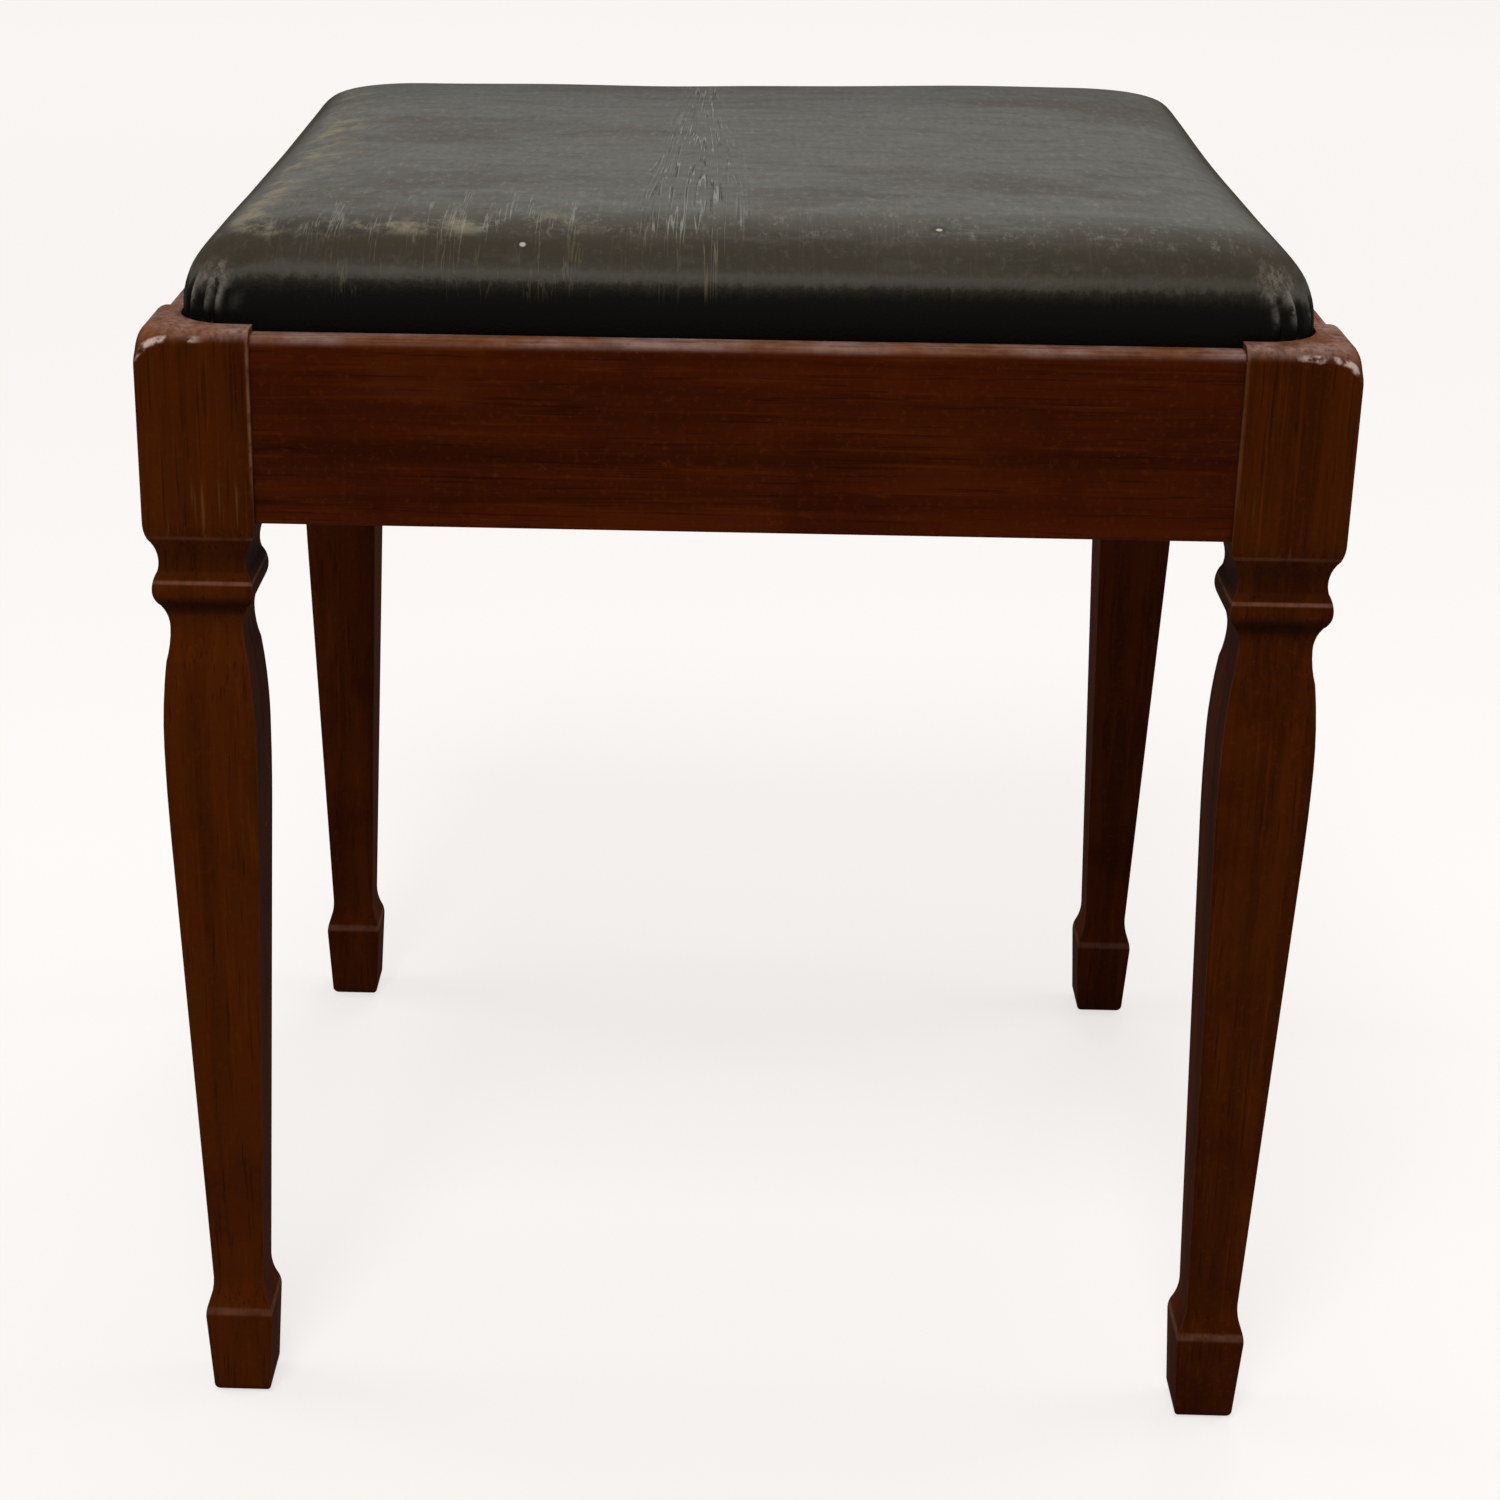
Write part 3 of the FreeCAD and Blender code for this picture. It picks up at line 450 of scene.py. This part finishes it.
def leathercloth(name):
    """Black leathercloth: painted grey sheen on top, partly greying from wear, a painted brown reflection on
    the roll, fine light cracks and worn pleats.
    """
    graph = material_graph(name)
    place = graph.place()
    x, y = (graph.axis(place, part) for part in "XY")
    upward = graph.axis(graph.add("ShaderNodeNewGeometry").outputs["Normal"], "Z")
    cloud = graph.noise(graph.stretch(place, (0.6, 1.0, 1.0)), 15, 5, 0.62)
    mottle = graph.noise(graph.stretch(place, (1.0, 0.45, 0.8)), 300, 5, 0.72)
    lifted = graph.math("ADD", graph.ramp(upward, 0.3, 0.6, 0, 0.25), graph.ramp(upward, 0.85, 0.99, 0, 0.75))
    tone = cover_ground(graph, place, y, upward, lifted, cloud, mottle)

    # Rubbed patches along the roll's upper edge, most of them on the left.
    rub_and_highlight = graph.times(graph.ramp(upward, 0.9, 0.97), graph.ramp(upward, 1.0, 0.985))
    rub_and_highlight = graph.times(rub_and_highlight, graph.ramp(graph.noise(place, 60, 5, 0.7), 0.45, 0.65))
    rub_and_highlight = graph.times(rub_and_highlight, graph.ramp(x, RUB_FROM, RUB_TO, 0.05, 0.7))
    tone = graph.mix(rub_and_highlight, tone, colour(112, 105, 86))

    light, dark = crack_fan(graph, x, y)
    crack = graph.math("MAXIMUM", light, front_cracks(graph, place, x, y))
    crack = graph.times(crack, graph.ramp(upward, 0.1, 0.5))
    # The pale cracks are real; their greyer colour where the surface faces up and browner colour on the roll
    # are painted sheen and reflection.
    pale = graph.mix(graph.ramp(upward, 0.88, 0.99), colour(100, 92, 72), colour(136, 138, 130))
    tone = graph.mix(graph.times(graph.times(dark, lifted), 0.7), tone, colour(34, 30, 27))
    tone = graph.mix(graph.times(crack, 0.5), tone, pale)
    tone = cover_marks(graph, tone, place, mottle)

    grain = graph.add("ShaderNodeTexVoronoi", {"Vector": place, "Scale": 900.0, "Randomness": 1.0},
                      feature="SMOOTH_F1").outputs["Distance"]
    relief = graph.bump(graph.math("SUBTRACT", graph.times(grain, 0.6), graph.times(crack, 0.4)), 0.12 * MM)
    rough = graph.ramp(cloud, 0.3, 0.7, 0.42, 0.55)
    return graph.finish(Base_Color=tone, Roughness=rough, Normal=relief, Specular_IOR_Level=0.0,
                        Coat_Weight=0.1, Coat_Roughness=0.45, Coat_Normal=relief)


def soft_filling(name, light, dark, scale):
    """Open foam or cotton wadding: pale, matt and pitted."""
    graph = material_graph(name)
    place = graph.place()
    pits = graph.noise(place, scale, 5, 0.7)
    cloud = graph.noise(place, 18, 3)
    tone = graph.mix(graph.ramp(pits, 0.35, 0.65), dark, light)
    tone = graph.mix(graph.ramp(cloud, 0.4, 0.7, 0, 0.3), tone, dark)
    return graph.finish(Base_Color=tone, Roughness=0.95, Normal=graph.bump(pits, 0.8 * MM),
                        Specular_IOR_Level=0.1)


# Seat form

SEAT_CORNER = 20 * MM
CROWN_CORNER = 34 * MM
SEAT_ROLL = 27 * MM
SEAT_CROWN = 4 * MM
CROWN_RUN = 112 * MM
SEAT_DRAW_IN = 1 * MM
COVER_THICKNESS = 1.2 * MM
TURN_UNDER = 26 * MM
WADDING_LAYER = 2.6 * MM
WADDING_THICKNESS = 3.6 * MM
FOAM_LAYER = 6.4 * MM
BOARD_GAP = 0.1 * MM
UNDER_ROUND = 2 * MM
ROLL_RINGS = 20
CORNER_RINGS = 30
LINES_ACROSS = 72
LINES_DEEP = 66
SIDE_RINGS = 16
UNDER_RINGS = 8


def smooth_step(value):
    value = min(max(value, 0.0), 1.0)
    return value * value * (3 - 2 * value)


class SeatForm:
    """The seat's surface as a grid of quads, this far inside the cover's outside.

    Rings run round the seat: over the roll their corners widen, and on the crown they close to the
    corner's centre. Each point of a corner keeps the direction in which it faces, in degrees.
    Underneath the form is open, closed, or turned under the board.
    """

    def __init__(self, layer, bottom, under, crown=SEAT_CROWN):
        self.half_x = seat_high.x - layer
        self.half_y = seat_high.y - layer
        self.roll = SEAT_ROLL - layer
        self.crown = crown
        self.roll_centre = seat_high.z - SEAT_CROWN - SEAT_ROLL
        self.rings = self.make_rings(SEAT_CORNER - layer)
        self.points = []
        self.facing = []
        self.faces = []
        rim = self.add_top()
        rim = self.add_side(rim, bottom, UNDER_ROUND if under == "turned" else 0.0)
        if under == "turned":
            self.add_under(rim, bottom)
        elif under == "closed":
            self.faces.append(list(reversed(rim)))

    def make_rings(self, corner):
        """Return each ring's inset, corner radius and rise above the roll's centre."""
        rings = []
        for step in range(ROLL_RINGS + 1):
            turn = math.pi / 2 * step / ROLL_RINGS
            lean = 1 - math.cos(turn)
            radius = corner + (CROWN_CORNER - corner) * lean
            rings.append((self.roll * lean, radius, self.roll * math.sin(turn)))
        rest = CORNER_RINGS - ROLL_RINGS
        for step in range(1, rest + 1):
            share = step / rest
            rings.append((self.roll + CROWN_CORNER * share, CROWN_CORNER * (1 - share), self.roll))
        return rings

    def add_top(self):
        """Add the crowned top and its roll, and return the outline's points in order."""
        wide = 2 * CORNER_RINGS + LINES_ACROSS + 1
        deep = 2 * CORNER_RINGS + LINES_DEEP + 1
        for i in range(wide):
            for j in range(deep):
                self.add_top_point(i, wide - 1 - i, j, deep - 1 - j)
        for i in range(wide - 1):
            for j in range(deep - 1):
                here = i * deep + j
                self.faces.append([here, here + deep, here + deep + 1, here + 1])
        front = [i * deep for i in range(wide)]
        right = [(wide - 1) * deep + j for j in range(1, deep)]
        back = [i * deep + deep - 1 for i in range(wide - 2, -1, -1)]
        left = list(range(deep - 2, 0, -1))
        return front + right + back + left

    def add_top_point(self, left, right, front, back):
        """Add the point that is this many grid lines from each side."""
        from_x = min(left, right)
        from_y = min(front, back)
        ring = min(from_x, from_y, CORNER_RINGS)
        inset, corner, rise = self.rings[ring]
        end_x = self.half_x - inset - corner
        end_y = self.half_y - inset - corner
        facing = math.nan
        if from_x <= CORNER_RINGS and from_y <= CORNER_RINGS:
            share = (max(from_x, from_y) - ring) / max(CORNER_RINGS - ring, 1)
            facing = 45 * (1 - share if from_x < from_y else 1 + share)
            x = end_x + corner * math.cos(math.radians(facing))
            y = end_y + corner * math.sin(math.radians(facing))
        else:
            x = end_x * (right - left) / (left + right - 2 * CORNER_RINGS)
            x = abs(x) if from_x > CORNER_RINGS else end_x + (corner if from_x < from_y else 0.0)
            y = end_y * (back - front) / (front + back - 2 * CORNER_RINGS)
            y = abs(y) if from_y > CORNER_RINGS else end_y + (corner if from_y < from_x else 0.0)
        if ring >= ROLL_RINGS:
            rise += self.crown * (smooth_step((self.half_x - self.roll - x) / CROWN_RUN)
                                  * smooth_step((self.half_y - self.roll - y) / CROWN_RUN))
        x = -x if left < right else x
        y = -y if front < back else y
        self.points.append(self.drawn_in(x, y, self.roll_centre + rise))
        self.facing.append(facing)

    def drawn_in(self, x, y, z):
        """Pull a point near a side in, most at the middle of the side."""
        pull_x = SEAT_DRAW_IN * max(1 - (y / self.half_y) ** 2, 0) * (abs(x) / self.half_x) ** 4
        pull_y = SEAT_DRAW_IN * max(1 - (x / self.half_x) ** 2, 0) * (abs(y) / self.half_y) ** 4
        return (x - math.copysign(pull_x, x), y - math.copysign(pull_y, y), z)

    def add_ring(self, rim, ring_points):
        """Add a ring of points and join it to the rim above or outside it."""
        first = len(self.points)
        self.points.extend(ring_points)
        self.facing.extend(self.facing[index] for index in rim)
        ring = list(range(first, first + len(rim)))
        for index in range(len(rim)):
            following = (index + 1) % len(rim)
            self.faces.append([rim[following], rim[index], ring[index], ring[following]])
        return ring

    def add_side(self, rim, bottom, round_off):
        """Add the upright side down to the bottom, less a small round."""
        outline = [self.points[index] for index in rim]
        low = bottom + round_off
        for step in range(1, SIDE_RINGS + 1):
            level = self.roll_centre + (low - self.roll_centre) * step / SIDE_RINGS
            rim = self.add_ring(rim, [(x, y, level) for x, y, _ in outline])
        return rim

    def add_under(self, rim, bottom):
        """Add the round at the bottom edge and the part that is turned under the board."""
        outline = [self.points[index] for index in rim]
        for step in range(1, UNDER_RINGS + 1):
            turn = math.pi / 2 * step / UNDER_RINGS
            inset = UNDER_ROUND * (1 - math.cos(turn))
            level = bottom + UNDER_ROUND * (1 - math.sin(turn))
            rim = self.add_ring(rim, [self.moved_in(x, y, inset, level) for x, y, _ in outline])
        for step in range(1, UNDER_RINGS + 1):
            inset = UNDER_ROUND + (TURN_UNDER - UNDER_ROUND) * step / UNDER_RINGS
            rim = self.add_ring(rim, [self.moved_in(x, y, inset, bottom) for x, y, _ in outline])

    def moved_in(self, x, y, inset, level):
        return (x * (1 - inset / self.half_x), y * (1 - inset / self.half_y), level)


def new_mesh(name, points, faces):
    mesh = bpy.data.meshes.new(name)
    mesh.from_pydata(points, [], faces)
    mesh.validate()
    mesh.polygons.foreach_set("use_smooth", [True] * len(mesh.polygons))
    piece = bpy.data.objects.new(name, mesh)
    bpy.context.scene.collection.objects.link(piece)
    return piece


def mesh_points(mesh):
    flat = np.zeros(len(mesh.vertices) * 3, np.float32)
    mesh.vertices.foreach_get("co", flat)
    return flat.reshape(-1, 3).astype(float)


def set_mesh_points(mesh, points):
    mesh.vertices.foreach_set("co", points.astype(np.float32).ravel())
    mesh.update()


# Swelling of the cover, by cloth under pressure

SIM_VOXEL = 5 * MM
SIM_PRESSURE = 0.3
SIM_CROWN = 1 * MM
SIM_LAYER = -0.2 * MM
SIM_FRAMES = 20
SIM_CAP = 6 * MM
HELD_ABOVE_FRAME = 2 * MM
SETTLE_FADE = 8 * MM
SMOOTH_STEPS = 4


def swollen_surface():
    """Blow up a copy of the seat that is held where the frame is round it, and return its surface."""
    start = SeatForm(SIM_LAYER, seat_low.z, "closed", SIM_CROWN)
    copy = new_mesh("sim_copy", start.points, start.faces)
    remesh = copy.modifiers.new("remesh", "REMESH")
    remesh.mode = "VOXEL"
    remesh.voxel_size = SIM_VOXEL
    depsgraph = bpy.context.evaluated_depsgraph_get()
    mesh = bpy.data.meshes.new_from_object(copy.evaluated_get(depsgraph))
    bpy.data.objects.remove(copy)
    pad = bpy.data.objects.new("sim_pad", mesh)
    bpy.context.scene.collection.objects.link(pad)
    rest = mesh_points(mesh)

    held = pad.vertex_groups.new(name="held")
    low = [int(index) for index in np.nonzero(rest[:, 2] < leg_top + HELD_ABOVE_FRAME)[0]]
    held.add(low, 1.0, "REPLACE")
    cloth = pad.modifiers.new("cloth", "CLOTH")
    cloth.settings.quality = 5
    cloth.settings.mass = 0.3
    cloth.settings.tension_stiffness = 25
    cloth.settings.compression_stiffness = 25
    cloth.settings.bending_stiffness = 2
    cloth.settings.use_pressure = True
    cloth.settings.uniform_pressure_force = SIM_PRESSURE
    cloth.settings.vertex_group_mass = "held"
    cloth.settings.effector_weights.gravity = 0
    cloth.point_cache.frame_start = 1
    cloth.point_cache.frame_end = SIM_FRAMES
    scene = bpy.context.scene
    for step in range(1, SIM_FRAMES + 1):
        scene.frame_set(step)
    moved = mesh_points(pad.evaluated_get(bpy.context.evaluated_depsgraph_get()).data)
    scene.frame_set(1)
    bpy.data.objects.remove(pad)
    shift = moved - rest
    length = np.linalg.norm(shift, axis=1, keepdims=True)
    shift *= np.minimum(1.0, SIM_CAP / np.maximum(length, 1e-9))
    faces = [list(polygon.vertices) for polygon in mesh.polygons]
    return BVHTree.FromPolygons([Vector(point) for point in rest + shift], faces)


def settle_on(piece, surface):
    """Move the cover's points along their normals to the swollen surface."""
    mesh = piece.data
    points = mesh_points(mesh)
    normals = np.array([vertex.normal for vertex in mesh.vertices])
    reach = SIM_CAP * 2
    for index, (point, normal) in enumerate(zip(points, normals)):
        fade = min(max((point[2] - leg_top) / SETTLE_FADE, 0.0), 1.0)
        if fade == 0.0:
            continue
        direction = Vector(normal)
        hit = surface.ray_cast(Vector(point) - direction * reach, direction, reach * 2)
        if hit[0] is not None:
            points[index] += np.array(direction) * (hit[3] - reach) * fade
    set_mesh_points(mesh, points)


def smooth(piece, steps, low):
    """Even out the points above a level, each towards the mean of its neighbours."""
    mesh = piece.data
    points = mesh_points(mesh)
    edges = np.array([edge.vertices for edge in mesh.edges])
    count = np.zeros(len(points))
    np.add.at(count, edges[:, 0], 1)
    np.add.at(count, edges[:, 1], 1)
    free = points[:, 2] > low
    for _ in range(steps):
        total = np.zeros_like(points)
        np.add.at(total, edges[:, 0], points[edges[:, 1]])
        np.add.at(total, edges[:, 1], points[edges[:, 0]])
        mean = total / count[:, None]
        points[free] += 0.5 * (mean - points)[free]
    set_mesh_points(mesh, points)


# Pleats at the corners, and the unevenness of an old seat

# Each pleat's direction in its corner, in degrees from the side towards the front or back, its depth
# as a share, and how far up the roll it runs, in millimetres.
PLEATS = {
    (-1, -1): ((36, 1.0, 17), (57, 0.8, 11), (70, 0.9, 14), (86, 0.4, 8)),
    (1, -1): ((26, 0.5, 10), (52, 1.0, 18), (73, 0.6, 11)),
    (1, 1): ((20, 0.7, 12), (43, 1.0, 17), (66, 0.6, 10)),
    (-1, 1): ((24, 0.8, 15), (49, 0.6, 10), (68, 1.0, 16)),
}
PLEAT_DEPTH = 1.8 * MM
PLEAT_WIDTH = 1.1 * MM
PLEAT_LIP = 0.6 * MM
PLEAT_LIP_PLACE = 2.4 * MM
PLEAT_LIP_WIDTH = 1.3 * MM
PLEAT_BELOW_FRAME = 3 * MM
PLEAT_FADE = 4 * MM
LIP_WEAR_BELOW_ROLL = 2 * MM
LIP_WEAR_FADE = 6 * MM
DENT_DEPTH = 0.7 * MM
DENT_SIZE = 70 * MM
DENT_ABOVE_FRAME = 10 * MM
DENT_FADE = 15 * MM
REAR_LIFT = 2.2 * MM
REAR_LIFT_FROM_X = -50 * MM
REAR_LIFT_RUN_X = 200 * MM
REAR_LIFT_RUN_Y = 150 * MM


def pleat_corners(piece, form):
    """Press pleats into each corner, fading out over the roll, and mark their worn lips."""
    mesh = piece.data
    points = mesh_points(mesh)
    normals = np.array([vertex.normal for vertex in mesh.vertices])
    wear = np.zeros(len(points), np.float32)
    for index, (x, y, z) in enumerate(points):
        facing = form.facing[index]
        if math.isnan(facing) or z < leg_top - PLEAT_BELOW_FRAME:
            continue
        low = smooth_step((z - leg_top + PLEAT_BELOW_FRAME) / PLEAT_FADE)
        push = 0.0
        for direction, depth, rise in PLEATS[(1 if x > 0 else -1, 1 if y > 0 else -1)]:
            fade = depth * low * smooth_step((form.roll_centre + rise * MM - z) / (rise * 0.8 * MM))
            away = math.radians(facing - direction) * SEAT_CORNER
            lip = math.exp(-((away - PLEAT_LIP_PLACE) / PLEAT_LIP_WIDTH) ** 2)
            push += fade * (PLEAT_LIP * lip - PLEAT_DEPTH * math.exp(-(away / PLEAT_WIDTH) ** 2))
            high = smooth_step((z - form.roll_centre + LIP_WEAR_BELOW_ROLL) / LIP_WEAR_FADE)
            wear[index] = max(wear[index], fade * lip * high)
        points[index] += normals[index] * push
    set_mesh_points(mesh, points)
    mesh.attributes.new("fold_wear", "FLOAT", "POINT").data.foreach_set("value", wear)


def dent(piece):
    """Make the top a little uneven, and fuller towards the rear right."""
    mesh = piece.data
    points = mesh_points(mesh)
    for point in points:
        fade = min(max((point[2] - leg_top - DENT_ABOVE_FRAME) / DENT_FADE, 0.0), 1.0)
        rightward = smooth_step((point[0] - REAR_LIFT_FROM_X) / REAR_LIFT_RUN_X)
        lean = rightward * smooth_step(point[1] / REAR_LIFT_RUN_Y)
        point[2] += fade * (DENT_DEPTH * noise.noise(Vector(point) / DENT_SIZE) + REAR_LIFT * lean)
    set_mesh_points(mesh, points)


def apply_modifiers(piece):
    """Put the modified mesh in the place of the piece's own mesh."""
    depsgraph = bpy.context.evaluated_depsgraph_get()
    mesh = bpy.data.meshes.new_from_object(piece.evaluated_get(depsgraph))
    piece.modifiers.clear()
    piece.data = mesh


def make_cover():
    form = SeatForm(0.0, seat_low.z, "turned")
    cover = new_mesh("seat_cover_leathercloth", form.points, form.faces)
    settle_on(cover, swollen_surface())
    smooth(cover, SMOOTH_STEPS, leg_top)
    dent(cover)
    pleat_corners(cover, form)
    shell = cover.modifiers.new("thickness", "SOLIDIFY")
    shell.thickness = COVER_THICKNESS
    shell.offset = -1
    apply_modifiers(cover)
    cover.data.materials.append(leathercloth("worn_leathercloth"))
    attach(cover, "seat")
    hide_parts("seat_cover")


def make_filling(name, node, layer, under, material):
    """Make the wadding or the foam, this far inside the cover's outside and on the board."""
    board_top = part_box("seat_board")[1].z + BOARD_GAP
    form = SeatForm(layer, board_top, under)
    piece = new_mesh(name, form.points, form.faces)
    if under == "open":
        shell = piece.modifiers.new("thickness", "SOLIDIFY")
        shell.thickness = WADDING_THICKNESS
        shell.offset = -1
        apply_modifiers(piece)
    piece.data.materials.append(material)
    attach(piece, "seat")
    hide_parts(node)


make_cover()
make_filling("seat_wadding_layer", "seat_wadding", WADDING_LAYER, "open",
             soft_filling("cotton_wadding", colour(214, 208, 194), colour(176, 168, 150), 420))
make_filling("seat_foam_block", "seat_foam", FOAM_LAYER, "closed",
             soft_filling("open_foam", colour(206, 190, 134), colour(160, 140, 88), 900))

# Materials of the CAD nodes

LEG_TONES = (colour(51, 19, 1), colour(71, 29, 2))
RAIL_TONES = (colour(45, 13, 1), colour(66, 22, 3))

finishes = {}
for index, corner in enumerate(CORNERS):
    shift = (0.31 * index, 0.17 * index, 0.23 * index)
    finishes["leg_" + corner] = stained_wood("leg_wood_" + corner, "z", shift, LEG_TONES, leg=True)
for index, side in enumerate(SIDES):
    grain = "x" if side in ("front", "rear") else "y"
    shift = (0.41 * index, 0.29 * index, 0.13 * index + 0.5)
    finishes["rail_" + side] = stained_wood("rail_wood_" + side, grain, shift, RAIL_TONES)
block_wood = plain_wood("block_wood", "x", colour(150, 112, 72), colour(112, 78, 46))
for corner in CORNERS:
    finishes["corner_block_" + corner] = block_wood
finishes["rail_dowels"] = block_wood
finishes["seat_board"] = plain_wood("board_wood", "x", colour(176, 140, 96), colour(136, 100, 64),
                                    layers=True)
steel = dull_steel("fastener_steel")
finishes["corner_block_screws"] = steel
finishes["cover_tacks"] = steel
for name, material in finishes.items():
    mesh = nodes[name].data
    mesh.materials.clear()
    mesh.materials.append(material)


# Stage: a pale floor in a white surround, lit softly from above, the front, the rear and both sides

BACKGROUND = colour(249, 245, 242)
FLOOR_HALF = 15.0
FLOOR_SEEN = (0.22, 0.217, 0.213, 1.0)
FLOOR_BOUNCE = (0.4, 0.395, 0.39, 1.0)
WORLD_LIGHT = 0.2
LAMP_AIM = (0, 0, 0.3)

# Between which distances from the middle the floor's own glow grows, and its strength at each.
GLOW_FROM, GLOW_TO = 0.8, 4.0
GLOW_NEAR, GLOW_FAR = 0.75, 0.93

# Each lamp's name, place, width and power in watts.
LAMPS = (
    ("overhead", (0.2, 0.4, 2.6), 1.8, 14),
    ("front_fill", (-0.25, -1.6, 2.5), 0.9, 54),
    ("rear_fill", (0.3, 1.7, 2.6), 1.2, 22),
    ("side_fill", (-2.2, 0.3, 1.6), 1.2, 20),
    ("side_fill", (2.2, 0.3, 1.6), 1.2, 20),
)


def make_floor():
    """Make a floor that looks pale and keeps the shadow, but throws little light on the object."""
    graph = material_graph("floor_paper")
    lit = graph.add("ShaderNodeBsdfDiffuse", {"Color": FLOOR_SEEN})
    away = graph.measure("LENGTH", graph.place())
    strength = graph.ramp(away, GLOW_FROM, GLOW_TO, GLOW_NEAR, GLOW_FAR)
    glow = graph.add("ShaderNodeEmission", {"Color": BACKGROUND, "Strength": strength})
    shown = graph.add("ShaderNodeAddShader", {0: lit.outputs[0], 1: glow.outputs[0]})
    dull = graph.add("ShaderNodeBsdfDiffuse", {"Color": FLOOR_BOUNCE})
    choice = graph.add("ShaderNodeMixShader", {0: graph.background_seen(), 1: dull.outputs[0],
                                               2: shown.outputs[0]})
    graph.add("ShaderNodeOutputMaterial", {"Surface": choice.outputs[0]})
    half = FLOOR_HALF
    floor = new_mesh("floor", [(-half, -half, 0), (half, -half, 0), (half, half, 0), (-half, half, 0)],
                     [[0, 1, 2, 3]])
    floor.data.materials.append(graph.owner)


def make_world():
    """Make a surround that looks white but lights the object weakly."""
    world = bpy.data.worlds.new("studio")
    bpy.context.scene.world = world
    graph = Graph(world)
    strength = graph.add("ShaderNodeMapRange", {"Value": graph.background_seen(), "To Min": WORLD_LIGHT,
                                                "To Max": 1.0})
    background = graph.add("ShaderNodeBackground", {"Color": BACKGROUND, "Strength": strength.outputs[0]})
    graph.add("ShaderNodeOutputWorld", {"Surface": background.outputs[0]})


def make_lamp(name, place, width, power):
    lamp = bpy.data.lights.new(name, "AREA")
    lamp.shape = "SQUARE"
    lamp.size = width
    lamp.energy = power
    item = bpy.data.objects.new(name, lamp)
    item.location = place
    item.rotation_mode = "QUATERNION"
    item.rotation_quaternion = (Vector(LAMP_AIM) - Vector(place)).to_track_quat("-Z", "Y")
    bpy.context.scene.collection.objects.link(item)


make_floor()
make_world()
for lamp_facts in LAMPS:
    make_lamp(*lamp_facts)

# Camera, fitted to the legs' edges in the photograph, which is taken to be 1500 pixels square.

PHOTO_SIDE = 1500
FOCAL_PIXELS = 2864.8
CENTRE_PIXEL = (639.4, 711.2)
CAMERA_PLACE = (-6.0 * MM, -1187.4 * MM, 683.9 * MM)
PITCH, YAW, ROLL = (math.radians(angle) for angle in (20.923, -1.734, -0.587))


def make_camera():
    camera = bpy.data.cameras.new("photo_camera")
    camera.lens = camera.sensor_width * FOCAL_PIXELS / PHOTO_SIDE
    camera.shift_x = 0.5 - CENTRE_PIXEL[0] / PHOTO_SIDE
    camera.shift_y = CENTRE_PIXEL[1] / PHOTO_SIDE - 0.5
    forward = Vector((math.sin(YAW) * math.cos(PITCH), math.cos(YAW) * math.cos(PITCH), -math.sin(PITCH)))
    level = Vector((math.cos(YAW), -math.sin(YAW), 0))
    down = forward.cross(level)
    right = level * math.cos(ROLL) + down * math.sin(ROLL)
    up = level * math.sin(ROLL) - down * math.cos(ROLL)
    item = bpy.data.objects.new("photo_camera", camera)
    axes = Matrix((right, up, -forward)).transposed().to_4x4()
    item.matrix_world = Matrix.Translation(CAMERA_PLACE) @ axes
    bpy.context.scene.collection.objects.link(item)
    bpy.context.scene.camera = item


make_camera()
bpy.context.scene.view_settings.view_transform = "Standard"
